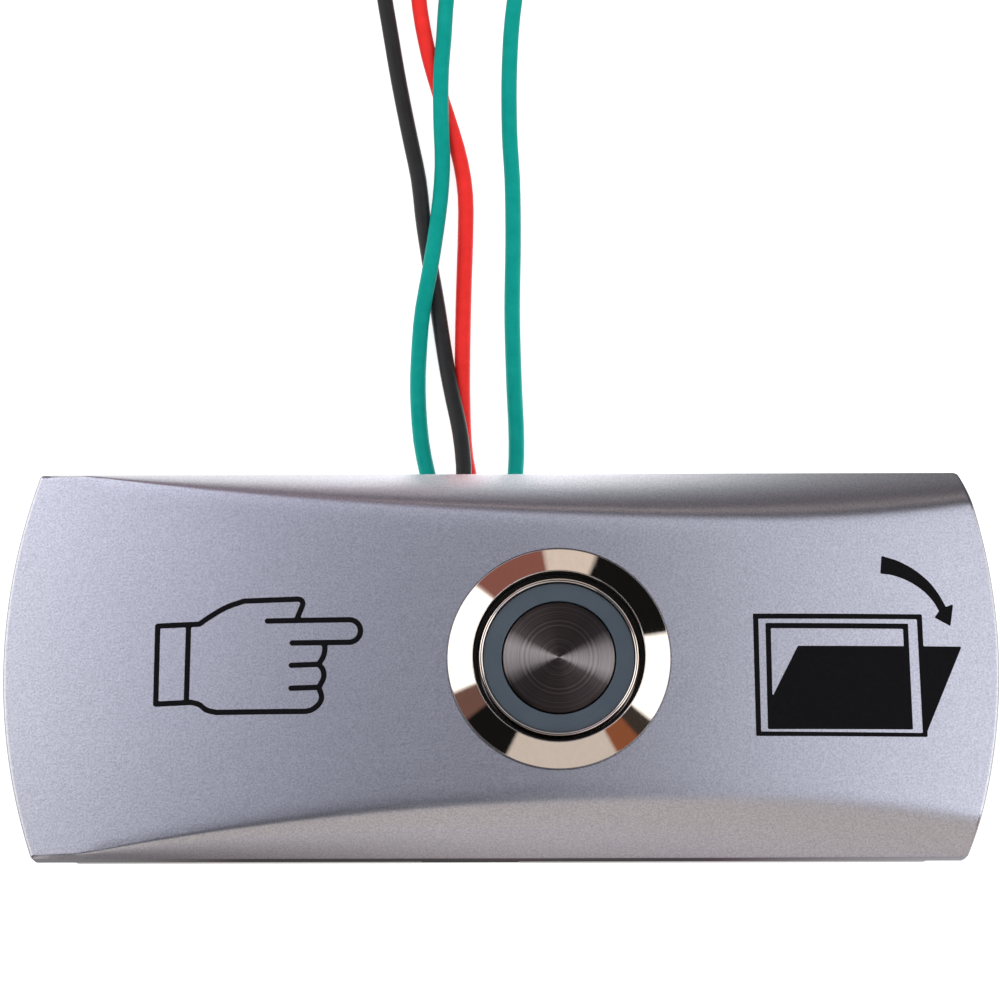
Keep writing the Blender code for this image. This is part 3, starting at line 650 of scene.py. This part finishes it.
def smooth_line(points, steps=8):
    """A smooth plane curve through points."""
    ends = [2 * Vector(points[0]) - Vector(points[1]), *map(Vector, points)]
    ends.append(2 * ends[-1] - ends[-2])
    line = [ends[1]]
    for before, start, stop, after in zip(ends, ends[1:], ends[2:], ends[3:]):
        first, second = start + (stop - before) / 6, stop - (after - start) / 6
        line += interpolate_bezier(start, first, second, stop, steps + 1)[1:]
    return [tuple(point) for point in line]


def distance_to_line(x, y, line):
    """Distance from each place to an open line."""
    nearest = np.full(x.shape, 1e9)
    for (ax, ay), (bx, by) in zip(line, line[1:]):
        dx, dy = bx - ax, by - ay
        share = np.clip(((x - ax) * dx + (y - ay) * dy) / (dx * dx + dy * dy), 0, 1)
        nearest = np.minimum(nearest, np.hypot(x - ax - share * dx, y - ay - share * dy))
    return nearest


def signed_distance(x, y, outline):
    """Distance to a closed outline, negative inside it."""
    closed = [*outline, outline[0]]
    inside = np.zeros(x.shape, bool)
    for (ax, ay), (bx, by) in zip(closed, closed[1:]):
        if ay != by:
            crosses = (ay > y) != (by > y)
            inside ^= crosses & (x < (bx - ax) * (y - ay) / (by - ay) + ax)
    distance = distance_to_line(x, y, closed)
    return np.where(inside, -distance, distance)


def hand_field(x, y):
    """A pointing hand in outline, negative where there is ink."""
    stroke = 0.22
    back = smooth_line([(-24.4, 2.9), (-23.5, 3.5), (-22.2, 4.22), (-20.75, 4.7)])
    thumb = rounded([(-20.75, 4.7), (-15.72, 4.76, 0.38), (-16.35, 3.15)])[:-1] + [(-16.35, 3.15)]
    tip = [(-12.1 + 0.93 * math.sin(a), 2.03 + 0.93 * math.cos(a)) for a in np.linspace(0, math.pi, 13)]
    index = [(-18.8, 3.0), *tip, (-16.75, 1.14)]
    palm = smooth_line([(-15.5, -4.5), (-15.0, -4.33), (-14.5, -3.9), (-14.3, -3.35), (-14.52, -2.58)])
    heel = smooth_line([(-22.9, -4.42), (-23.7, -4.2), (-24.3, -3.75), (-24.95, -3.55), (-25.35, -3.55)])
    lines = [
        [(-27.9, -3.6), (-27.85, 2.85)],
        [(-25.37, -3.55), (-25.29, 2.87)],
        [(-27.85, 2.85), (-24.4, 2.9)],
        *(back, thumb, index, palm, heel),
        smooth_line([(-14.13, 1.1), (-14.07, 0.55), (-14.2, -0.05), (-14.54, -0.63)]),
        [(-14.54, -0.66), (-16.8, -0.7)],
        smooth_line([(-14.54, -0.66), (-14.2, -1.15), (-14.16, -1.8), (-14.52, -2.53)]),
        [(-14.52, -2.55), (-16.8, -2.58)],
        [(-15.5, -4.5), (-22.9, -4.42)],
        [(-25.35, -3.55), (-27.9, -3.6)],
    ]
    return np.min([distance_to_line(x, y, line) for line in lines], axis=0) - stroke


def door_field(x, y):
    """An open door seen in its frame, with an arrow that swings out of it; negative where there is ink."""
    leaf_bar = 0.43
    outer = signed_distance(x, y, [(20.65, 3.34), (34.49, 3.5), (34.71, -6.58), (20.76, -6.68)])
    opening = signed_distance(x, y, [(21.09, 2.93), (34.07, 3.08), (34.32, -6.26), (21.17, -6.31)])
    inner = signed_distance(x, y, [(21.66, 2.58), (33.33, 2.7), (33.52, -5.99), (21.72, -6.11)])
    leaf = signed_distance(x, y, [(24.27, 0.73), (37.7, 0.9), (34.7, -6.1), (21.72, -6.11), (22.05, -3.62)])
    gap = np.maximum(opening, -inner)
    frame_ring = np.maximum(outer, -opening)
    leaf_ring = np.maximum(inner, -(inner + leaf_bar))
    swing = [(31.28, 8.29), (32.7, 7.86), (34.01, 7.15), (35.1, 6.25), (35.85, 5.3), (36.5, 4.16)]
    head = [(37.1, 4.41), (36.83, 2.58), (35.53, 3.26)]
    hollow = [(35.92, 3.8), (35.45, 4.6), (34.6, 5.5), (33.4, 6.25), (32.2, 6.68), (31.15, 6.82)]
    arrow = signed_distance(x, y, [*smooth_line(swing), *head, *smooth_line(hollow)])
    return np.min([frame_ring, leaf_ring, np.maximum(leaf, -gap), arrow], axis=0)


def make_sign(name, field, box, materials, cell=0.1):
    """A thin film of ink over the face, cut along the line where the field is zero."""
    x0, x1, y0, y1 = box
    xs = np.linspace(x0, x1, round((x1 - x0) / cell) + 1)
    ys = np.linspace(y0, y1, round((y1 - y0) / cell) + 1)
    gx, gy = np.meshgrid(xs, ys, indexing="ij")
    value = field(gx, gy)
    value = np.where(np.abs(value) < 1e-6, 1e-6, value)
    places, faces = {}, []
    wet = value < 0
    for i, j in zip(*np.nonzero(wet[:-1, :-1] | wet[1:, :-1] | wet[:-1, 1:] | wet[1:, 1:])):
        ring = [(i, j), (i + 1, j), (i + 1, j + 1), (i, j + 1)]
        face = []
        for a, b in zip(ring, ring[1:] + ring[:1]):
            if wet[a]:
                places[a] = (xs[a[0]], ys[a[1]])
                face.append(a)
            if wet[a] != wet[b]:
                key = tuple(sorted((a, b)))
                share = value[key[0]] / (value[key[0]] - value[key[1]])
                start, stop = ((xs[k[0]], ys[k[1]]) for k in key)
                places[key] = tuple(s + (t - s) * share for s, t in zip(start, stop))
                face.append(key)
        faces.append(face)
    bm = bmesh.new()
    above, below = {}, {}
    for key, (x, y) in places.items():
        z = float(face_height(x, y))
        above[key] = bm.verts.new((x, y, z + 0.02))
        below[key] = bm.verts.new((x, y, z - 0.02))
    for face in faces:
        bm.faces.new([above[key] for key in face])
        bm.faces.new([below[key] for key in reversed(face)])
    sides = {pair: None for face in faces for pair in zip(face, face[1:] + face[:1])}
    for a, b in sides:
        if (b, a) not in sides:
            bm.faces.new((above[b], above[a], below[a], below[b]))
    sign = make_object(name, bm, materials["ink"], 60.0)
    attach(sign, "housing")


# ---- box and screws

def make_box(materials):
    """The shallow box on the wall, with its room, cable hole, wall slots, screw holes and side notches."""
    def plan(inset, half, corner):
        turns = np.linspace(-half, half, 25)
        right = [(float(end_x(y, inset)), float(y)) for y in turns]
        right[0] = (*right[0], corner)
        right[-1] = (*right[-1], corner)
        return rounded(right + [(-p[0], -p[1], *p[2:]) for p in right], 5)

    half = WIDTH / 2 - BOX_INSET
    inner_half = half - BOX_WALL
    box = prism("wall_box", plan(BOX_INSET, half, 0.5), 0.0, BOX_TOP)
    box.data.materials.append(materials["satin"])
    room = prism("room", plan(BOX_INSET + BOX_WALL, inner_half, 0.3), BOX_WALL, BOX_TOP + CUT)
    cuts = [room, prism("cable_hole", circle(CABLE_HOLE[0], 0, CABLE_HOLE[1]), -CUT, BOX_WALL + CUT)]
    notch_x = (NOTCH_X - NOTCH_WIDTH / 2, NOTCH_X + NOTCH_WIDTH / 2)
    for side in (-1, 1):
        x = side * WALL_SLOT_X
        outline = rounded([(*p, 1.75) for p in rectangle(x - 3.5, x + 3.5, -1.8, 1.8)], 8)
        cuts.append(prism(f"slot{side}", outline, -CUT, BOX_WALL + CUT))
        reach = sorted((side * (LUG_END + 0.2), side * (LENGTH / 2 + CUT)))
        cuts.append(prism(f"clear{side}", circle(0, SCREW_Z, 1.5, 32), *reach, axis="X"))
        notch_y = sorted((side * (inner_half - 0.2), side * (half + CUT)))
        cuts.append(prism(f"notch{side}", rectangle(*notch_x, *notch_y), -CUT, NOTCH_TOP))
    combine(box, [("DIFFERENCE", cut) for cut in cuts])
    bevel = box.modifiers.new("soft_edges", "BEVEL")
    bevel.width = 0.25 * MM
    bevel.segments = 2
    bevel.limit_method = "ANGLE"
    bevel.angle_limit = math.radians(40)
    settle(box, 35.0)
    stand_in(box, "back_box")


def make_screws(materials):
    """Pan-head cross-recess screws along X, through the box's end walls into the faceplate's lugs."""
    seat = LENGTH / 2 - BOX_INSET + 0.1
    tip = LUG_X - 0.9
    thread = []
    for i in range(8):
        place = tip + 0.5 + i * 0.45
        thread += [(1.1, place, 0.0), (0.88, place + 0.225, 0.0)]
    profile = rounded(
        [
            (0.0, tip), (0.66, tip), *thread, (1.1, tip + 4.3), (1.1, seat), (2.2, seat, 0.15),
            (2.2, seat + 0.7, 0.3), (1.5, seat + 1.5, 0.5), (0.0, seat + 1.5),
        ]
    )
    for side, name in ((-1, "cover_screw_left"), (1, "cover_screw_right")):
        screw = turned("fine_" + name, profile, materials["steel"], 48, (0.0, 0.0), axis_ends=True)
        turn = Matrix.Rotation(side * math.pi / 2, 4, "Y")
        screw.data.transform(Matrix.Translation((0, 0, SCREW_Z * MM)) @ turn)
        depth = sorted((side * (seat + 0.6), side * (seat + 4.0)))
        tools = []
        for label, (wide, tall) in (("flat", (1.3, 0.26)), ("upright", (0.26, 1.3))):
            outline = rectangle(-wide, wide, SCREW_Z - tall, SCREW_Z + tall)
            tools.append(("DIFFERENCE", prism(label + name, outline, *depth, axis="X")))
        combine(screw, tools)
        stand_in(screw, name)


# ---- switch

def darken_mouth_faces(piece, material):
    """The wall and ledge inside the bezel, round the button, take a near-black material."""
    piece.data.materials.append(material)
    centre = Vector((SWITCH_X, SWITCH_Y)) * MM
    for face in piece.data.polygons:
        inside = (face.center.xy - centre).length < (MOUTH_R - 0.005) * MM
        if inside and face.center.z > 22.7 * MM:
            face.material_index = 1


def make_switch(materials):
    """Bezel with barrel, and the pressed pieces: bright sleeve, light ring and spun cap."""
    neck = BARREL_R - 0.3
    groove = SEAT_Z + 0.65
    thread = []
    for i in range(9):
        low = 11.5 + i
        thread += [(BARREL_R - 0.6, low), (BARREL_R, low + 0.5)]
    body = rounded(
        [
            (MOUTH_R, BEZEL_TOP, 0.06), (MOUTH_R, 23.6, 0.1), (6.55, 23.6, 0.08), (6.55, 22.6),
            (6.85, 22.6), (6.85, 10.3), (neck, 10.3, 0.2), (neck, 11.1), *thread, (BARREL_R - 0.6, 20.5),
            (neck, 20.9), (neck, groove), (BEZEL_R - 0.25, groove), (BEZEL_R - 0.25, SEAT_Z + 0.05),
            (BEZEL_R, SEAT_Z + 0.05, 0.04), (BEZEL_R, BEZEL_TOP - 1.08, 0.12),
            (MOUTH_R + 0.08, BEZEL_TOP, 0.05),
        ]
    )
    sleeve = rounded(
        [
            (SLEEVE_R, SLEEVE_TOP, 0.12), (SLEEVE_R, 22.5), (6.75, 22.5, 0.05), (6.75, 21.9, 0.05),
            (SLEEVE_R, 21.9), (SLEEVE_R, 18.4), (5.5, 18.4), (5.5, 18.9), (RING_R + 0.2, 18.9),
            (RING_R + 0.2, SLEEVE_TOP, 0.12),
        ]
    )
    ring = rounded(
        [
            (CAP_R + 0.12, RING_TOP, 0.1), (RING_R + 0.17, RING_TOP, 0.12), (RING_R + 0.17, 19.0),
            (4.4, 19.0), (4.4, 20.0), (2.7, 20.0), (2.7, 20.9), (CAP_R + 0.12, 20.9),
        ]
    )
    cap = rounded(
        [
            (0.0, CAP_TOP - 0.08), (0.3, CAP_TOP, 0.15), (CAP_R, CAP_TOP, 0.22), (CAP_R, 21.0), (3.7, 21.0),
            (3.7, 23.4), (0.0, 23.4),
        ]
    )
    pieces = [
        ("bezel_and_barrel", body, "nickel_polish", "switch_body", "chrome", "housing", False),
        ("bright_sleeve", sleeve, "nickel_polish", "actuator_sleeve", "chrome", "button", False),
        ("smoked_ring", ring, "guide", "light_ring", "light_guide", "button", False),
        ("spun_cap", cap, "spun", "centre_cap", "spun_steel", "button", True),
    ]
    for name, profile, material, node, slot, body_name, on_axis in pieces:
        piece = turned(name, profile, materials[material], axis_ends=on_axis)
        if node == "switch_body":
            darken_mouth_faces(piece, materials["mouth"])
        stand_in(piece, node, body_name)


def make_spring(materials):
    """The return coil, its foot on the shelf and its head at the plunger."""
    turns, per_turn, sides = 3.5, 40, 10
    low, high = SPRING_FOOT + SPRING_WIRE / 2, SPRING_HEAD - SPRING_WIRE / 2
    bm = bmesh.new()
    rings = []
    for i in range(round(turns * per_turn) + 1):
        share = i / round(turns * per_turn)
        angle = math.tau * turns * share
        rise = 0.8 * share * share * (3 - 2 * share) + 0.2 * share
        out = Vector((math.cos(angle), math.sin(angle), 0.0))
        centre = Vector((*SWITCH, low + (high - low) * rise)) + out * SPRING_R
        rings.append(ring_at(bm, centre, out, Vector((0.0, 0.0, 1.0)), SPRING_WIRE / 2, sides))
    skin_rings(bm, rings)
    coil = make_object("coil_spring", bm, materials["steel"], 60.0)
    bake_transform(coil)
    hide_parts("return_spring")


# ---- leads

def smooth_path(points):
    """A dense smooth curve through the points, each stretch a Bezier with Catmull-Rom handles."""
    points = [Vector(point) for point in points]
    ends = [2 * points[0] - points[1], *points, 2 * points[-1] - points[-2]]
    path = [points[0]]
    for before, start, stop, after in zip(ends, ends[1:], ends[2:], ends[3:]):
        first = start + (stop - before) / 6
        second = stop - (after - start) / 6
        path += interpolate_bezier(start, first, second, stop, 24)[1:]
    return path


def evenly_spaced(path, spacing, length=None):
    """Points along a path, about a spacing apart, cut off at a length."""
    travelled = [0.0]
    for start, stop in zip(path, path[1:]):
        travelled.append(travelled[-1] + (stop - start).length)
    total = length or travelled[-1]
    count = max(2, round(total / spacing))
    found = []
    index = 1
    for i in range(count + 1):
        target = total * i / count
        while travelled[index] < target and index < len(path) - 1:
            index += 1
        span = travelled[index] - travelled[index - 1]
        found.append(path[index - 1].lerp(path[index], (target - travelled[index - 1]) / span))
    return found


def make_tube(name, points, radius, material):
    curve = bpy.data.curves.new(name, "CURVE")
    curve.dimensions = "3D"
    curve.bevel_depth = radius * MM
    curve.bevel_resolution = 6
    curve.use_fill_caps = True
    spline = curve.splines.new("POLY")
    spline.points.add(len(points) - 1)
    for target, point in zip(spline.points, points):
        target.co = (*(point * MM), 1.0)
    spline.use_smooth = True
    curve.materials.append(material)
    tube = bpy.data.objects.new(name, curve)
    bpy.context.scene.collection.objects.link(tube)
    return tube


def make_strands(name, start, heading, material):
    """Seven tinned strands twisted together, out of the cut end of the insulation."""
    strand_r, reach, sides, steps = 0.112, BARE_LENGTH, 8, 26
    side_way = heading.cross(Vector((0.0, 0.0, 1.0))).normalized()
    up_way = side_way.cross(heading)
    bm = bmesh.new()
    for strand in range(7):
        rings = []
        for step in range(steps + 1):
            share = step / steps
            turn = math.tau * (strand / 6 + 0.9 * share)
            out = 0.0 if strand == 6 else 2.05 * strand_r
            centre = start + heading * (share * (reach + LEAD_GAP) - LEAD_GAP)
            centre += (side_way * math.cos(turn) + up_way * math.sin(turn)) * out
            rings.append(ring_at(bm, centre, side_way, up_way, strand_r, sides))
        skin_rings(bm, rings)
    return make_object(name, bm, material, 60.0)


def inner_route(lead):
    """Down out of the sleeve, over in one bend, and along the box's floor to the notch."""
    pin = Vector((SWITCH_X + lead["pin"][0], SWITCH_Y + lead["pin"][1], 0.0))
    first = Vector((*lead["inside"][0], 0.0))
    heading = (first - pin).normalized()
    route = [pin + Vector((0.0, 0.0, z)) for z in (5.0, 4.55)]
    for ahead, z in ((0.35, 3.6), (1.1, 2.95), (2.1, INNER_Z)):
        route.append(pin + heading * ahead + Vector((0.0, 0.0, z)))
    route += [Vector((x, y, INNER_Z)) for x, y in lead["inside"]]
    route.append(Vector((lead["slot_x"], EXIT_Y - 1.8, EXIT_Z + 0.2)))
    route.append(Vector((lead["slot_x"], EXIT_Y + LEAD_GAP, EXIT_Z)))
    return route


def make_leads(materials):
    for name, lead in LEADS.items():
        colour = "lead_" + name.split("_")[0]
        exit_point = (lead["slot_x"], EXIT_Y + LEAD_GAP, EXIT_Z)
        laid = [(*place, TABLE_Z)[:3] for place in lead["outside"]]
        route = evenly_spaced(smooth_path([exit_point, *laid]), 1.5, LEAD_LENGTH - BARE_LENGTH)
        outer = make_tube("free_lead_" + name, route, LEAD_R, materials[colour])
        heading = (route[-1] - route[-2]).normalized()
        end = make_strands("strands_" + name, route[-1], heading, materials["tin"])
        boxed = evenly_spaced(smooth_path(inner_route(lead)), 0.7)
        inner = make_tube("boxed_lead_" + name, boxed, LEAD_R, materials[colour])
        for piece, node, slot in (
            (outer, "lead_" + name, colour),
            (end, "lead_end_" + name, "tinned_copper"),
            (inner, "inner_lead_" + name, colour),
        ):
            stand_in(piece, node)


# ---- carried-over nodes

def dress_cad_nodes(materials):
    """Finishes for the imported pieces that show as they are."""
    finishes = {
        "flange_o_ring": "rubber", "fixing_nut": "nickel", "contact_carrier": "natural",
        "terminal_base": "black", "fixed_contact_left": "brass", "fixed_contact_right": "brass",
        "led_pin_plus": "nickel", "led_pin_minus": "nickel", "led_board": "board", "plunger": "black",
        "contact_bridge": "brass", **{f"led_{i}": "chip" for i in range(1, 5)},
        **{"heat_shrink_" + name: "black" for name in LEADS},
    }
    for node, finish in finishes.items():
        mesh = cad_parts[node].data
        mesh.materials.clear()
        mesh.materials.append(materials[finish])


# ---- surroundings

def ramp(tree, value, stops):
    """A colour ramp over 0..1 with linear stretches."""
    node = add_node(tree, "ValToRGB", [value])
    elements = node.color_ramp.elements
    while len(elements) > 1:
        elements.remove(elements[-1])
    elements[0].position = stops[0][0]
    elements[0].color = (*stops[0][1], 1.0)
    for position, colour in stops[1:]:
        element = elements.new(position)
        element.color = (*colour, 1.0)
    return node.outputs[0]


def bearing_of(tree, x, y):
    """Direction over the table as a share of a turn, 0 and 1 at -X."""
    return calculate(tree, "MULTIPLY_ADD", calculate(tree, "ARCTAN2", y, x), 1 / math.tau, 0.5)


def by_bearing(tree, bearing, stops):
    """A colour ramp with its stops given in degrees from +X."""
    return ramp(tree, bearing, [((degrees + 180) / 360, colour) for degrees, colour in stops])


def grey(value):
    return (value, value, value)


def make_floor():
    """A white table, with painted shade under the box where the camera sees it dark. Metal sees painted
    light on it: light grey under and beside the box, and lit by bearing near the object, fading into the
    room.
    """
    shade_x, shade_y, strip_y, fade = 36.5 * MM, 14.05 * MM, 15.9 * MM, 30 * MM
    bm = bmesh.new()
    bmesh.ops.create_grid(bm, x_segments=1, y_segments=1, size=3000.0)
    settings = {"Roughness": 0.9, "Emission_Strength": 0.75, "Specular_IOR_Level": 0.0}
    material, tree, shader = new_material("white_table", **settings)
    place = add_node(tree, "TexCoord").outputs["Object"]
    x, y, _ = add_node(tree, "SeparateXYZ", [place]).outputs
    along = calculate(tree, "LESS_THAN", calculate(tree, "ABSOLUTE", x), shade_x)
    across = calculate(tree, "ABSOLUTE", y)
    # Painted shade: for the camera, the table's glow and colour go dark where the box stands.
    under = calculate(tree, "MULTIPLY", calculate(tree, "LESS_THAN", across, shade_y), along)
    # Mask of the painted light-grey strip that metal sees under and beside the box.
    beside = calculate(tree, "MULTIPLY", calculate(tree, "LESS_THAN", across, strip_y), along)
    glow_with_painted_shade = mix_colours(tree, under, grey(1.0), grey(0.02))
    tone = mix_colours(tree, under, grey(0.6), grey(0.1))
    feed(tree, shader, Emission_Color=glow_with_painted_shade, Base_Color=tone)
    bearing = bearing_of(tree, x, y)
    distance = vector(tree, "LENGTH", place)
    fall = calculate(tree, "EXPONENT", calculate(tree, "MULTIPLY_ADD", distance, -1 / fade, 1.0))
    # Painted light for reflections: the table's brightness set by bearing, with a pool of light near the
    # object that fades with distance.
    far_stops = [
        (-180, grey(0.8)), (-130, (0.40, 0.38, 0.38)), (-90, (0.64, 0.60, 0.60)), (-50, (0.50, 0.46, 0.48)),
        (-20, grey(0.8)), (15, grey(0.8)), (35, grey(0.10)), (70, grey(0.15)),
        (95, (0.38, 0.34, 0.38)), (140, grey(0.5)), (180, grey(0.8)),
    ]
    near_stops = [
        (-180, 0.0), (-150, 0.3), (-20, 0.3), (0, 0.0), (30, 0.3), (50, 0.45), (60, 0.88),
        (70, 1.12), (90, 1.15), (112, 0.95), (150, 0.8), (180, 0.0),
    ]
    far = by_bearing(tree, bearing, far_stops)
    near = by_bearing(tree, bearing, [(degrees, grey(value)) for degrees, value in near_stops])
    gain = calculate(tree, "MULTIPLY", calculate(tree, "MULTIPLY_ADD", near, 2.6, -1.2), fall)
    lit = vector(tree, "MAXIMUM", vector(tree, "ADD", far, gain), grey(0.04))
    # Painted light: under and beside the box, metal sees the table light grey.
    painted_light_for_reflections = add_node(tree, "Emission", [mix_colours(tree, beside, lit, (0.72, 0.70, 0.66)), 1.0])
    seen = add_node(tree, "LightPath").outputs["Is Camera Ray"]
    both = add_node(tree, "MixShader", [seen, painted_light_for_reflections.outputs[0], shader.outputs[0]])
    tree.links.new(both.outputs[0], tree.nodes["Material Output"].inputs["Surface"])
    make_object("floor", bm, material)


def sector_stops(black, cream, copper):
    """What stands around the table, by bearing in degrees: two softboxes, dark room, and warm furniture."""
    white = grey(1.5)
    sand, brown = (0.60, 0.55, 0.52), (0.155, 0.083, 0.07)
    umber = (0.25, 0.085, 0.04)
    shade = (0.042, 0.034, 0.030)
    sectors = [
        (-180, white), (-173, brown), (-156, black), (-124, sand), (-52, umber), (-36, shade), (-24, white),
        (24, black), (73, cream), (96, copper), (130, white), (180, white),
    ]
    stops = []
    blend = 1.0
    for (bearing, colour), (following, _) in zip(sectors, sectors[1:]):
        stops.append((bearing + blend if bearing > -180 else -180, colour))
        stops.append((following - blend if following < 180 else 180, colour))
    return stops


def overhead_light(tree, x, y, z):
    """A dark ceiling with softboxes to the left and right, by how far a direction leans along X and Y."""
    lean = calculate(tree, "MULTIPLY_ADD", calculate(tree, "ARCTAN2", x, z), 1 / math.pi, 0.5)
    leftward = calculate(tree, "MINIMUM", calculate(tree, "SUBTRACT", lean, 75 / 180), 0.0)
    tilt = calculate(tree, "MULTIPLY_ADD", leftward, math.radians(36), calculate(tree, "ARCTAN2", y, z))

    def stops(values):
        found = []
        for degrees, value in values:
            blue = 1.18 if degrees < 0 else 1.10
            found.append(((degrees + 90) / 180, (value * 0.96, value * 0.98, value * blue)))
        return found

    near = [
        (-90, 0.6), (-40, 0.22), (-30, 0.16), (-20, 0.13), (-10, 0.09), (0, 0.10),
        (7, 0.22), (15, 0.85), (24, 1.25), (90, 1.4),
    ]
    away = [
        (-90, 2.0), (-36, 2.45), (-28, 1.5), (-20, 0.70), (-10, 0.46), (0, 0.56),
        (8, 0.58), (18, 0.9), (28, 1.12), (90, 1.2),
    ]
    low = ramp(tree, lean, stops(near))
    high = ramp(tree, lean, stops(away))
    share = spread(tree, tilt, 0.0, 1.0, math.radians(4), math.radians(15))
    sides = mix_colours(tree, share, low, high)
    towards = add_node(tree, "CombineXYZ", [x, y, z]).outputs[0]
    from_lens = vector(tree, "DISTANCE", towards, Vector((0.01, 0.17, 1.0)).normalized())
    core = spread(tree, from_lens, 0.0, 1.0, 0.06, 0.12)
    return mix_colours(tree, core, (0.03, 0.025, 0.025), sides)


def make_world():
    """The studio as metal sees it, an even light for everything matt, and white for the camera."""
    scene = bpy.context.scene
    scene.view_settings.view_transform = "Standard"
    world = bpy.data.worlds.new("studio")
    scene.world = world
    world.use_nodes = True
    tree = world.node_tree
    tree.nodes.clear()
    x, y, z = add_node(tree, "SeparateXYZ", [add_node(tree, "TexCoord").outputs["Generated"]]).outputs
    bearing = bearing_of(tree, x, y)
    shelf_stops = sector_stops(grey(0.007), (0.70, 0.62, 0.57), (0.24, 0.095, 0.08))
    room_stops = sector_stops(grey(0.07), (0.10, 0.09, 0.10), (0.36, 0.30, 0.36))
    furniture = by_bearing(tree, bearing, shelf_stops)
    room = by_bearing(tree, bearing, room_stops)
    overhead = overhead_light(tree, x, y, z)
    zenith = calculate(tree, "ARCCOSINE", z)
    middle = calculate(tree, "MULTIPLY_ADD", y, math.radians(11), math.radians(57))
    band = calculate(tree, "ABSOLUTE", calculate(tree, "SUBTRACT", zenith, middle))
    shelf = spread(tree, band, 0.0, 1.0, math.radians(3.0), math.radians(3.7))
    around = mix_colours(tree, shelf, furniture, room)
    share = spread(tree, zenith, 0.0, 1.0, math.radians(34), math.radians(46))
    studio = mix_colours(tree, share, overhead, around)
    path = add_node(tree, "LightPath")
    matt = mix_colours(tree, path.outputs["Is Diffuse Ray"], studio, grey(1.1))
    colour = mix_colours(tree, path.outputs["Is Camera Ray"], matt, grey(1.0))
    background = add_node(tree, "Background", [colour, 1.0])
    output = add_node(tree, "OutputWorld")
    tree.links.new(background.outputs[0], output.inputs["Surface"])


# ---- build

def build():
    make_camera()
    materials = make_materials()
    make_leads(materials)
    make_faceplate(materials)
    make_box(materials)
    make_screws(materials)
    make_switch(materials)
    make_spring(materials)
    make_sign("hand_sign", hand_field, (-28.6, -10.6, -5.2, 5.4), materials)
    make_sign("door_sign", door_field, (20.2, 38.2, -7.2, 8.8), materials)
    dress_cad_nodes(materials)
    make_floor()
    make_world()


build()
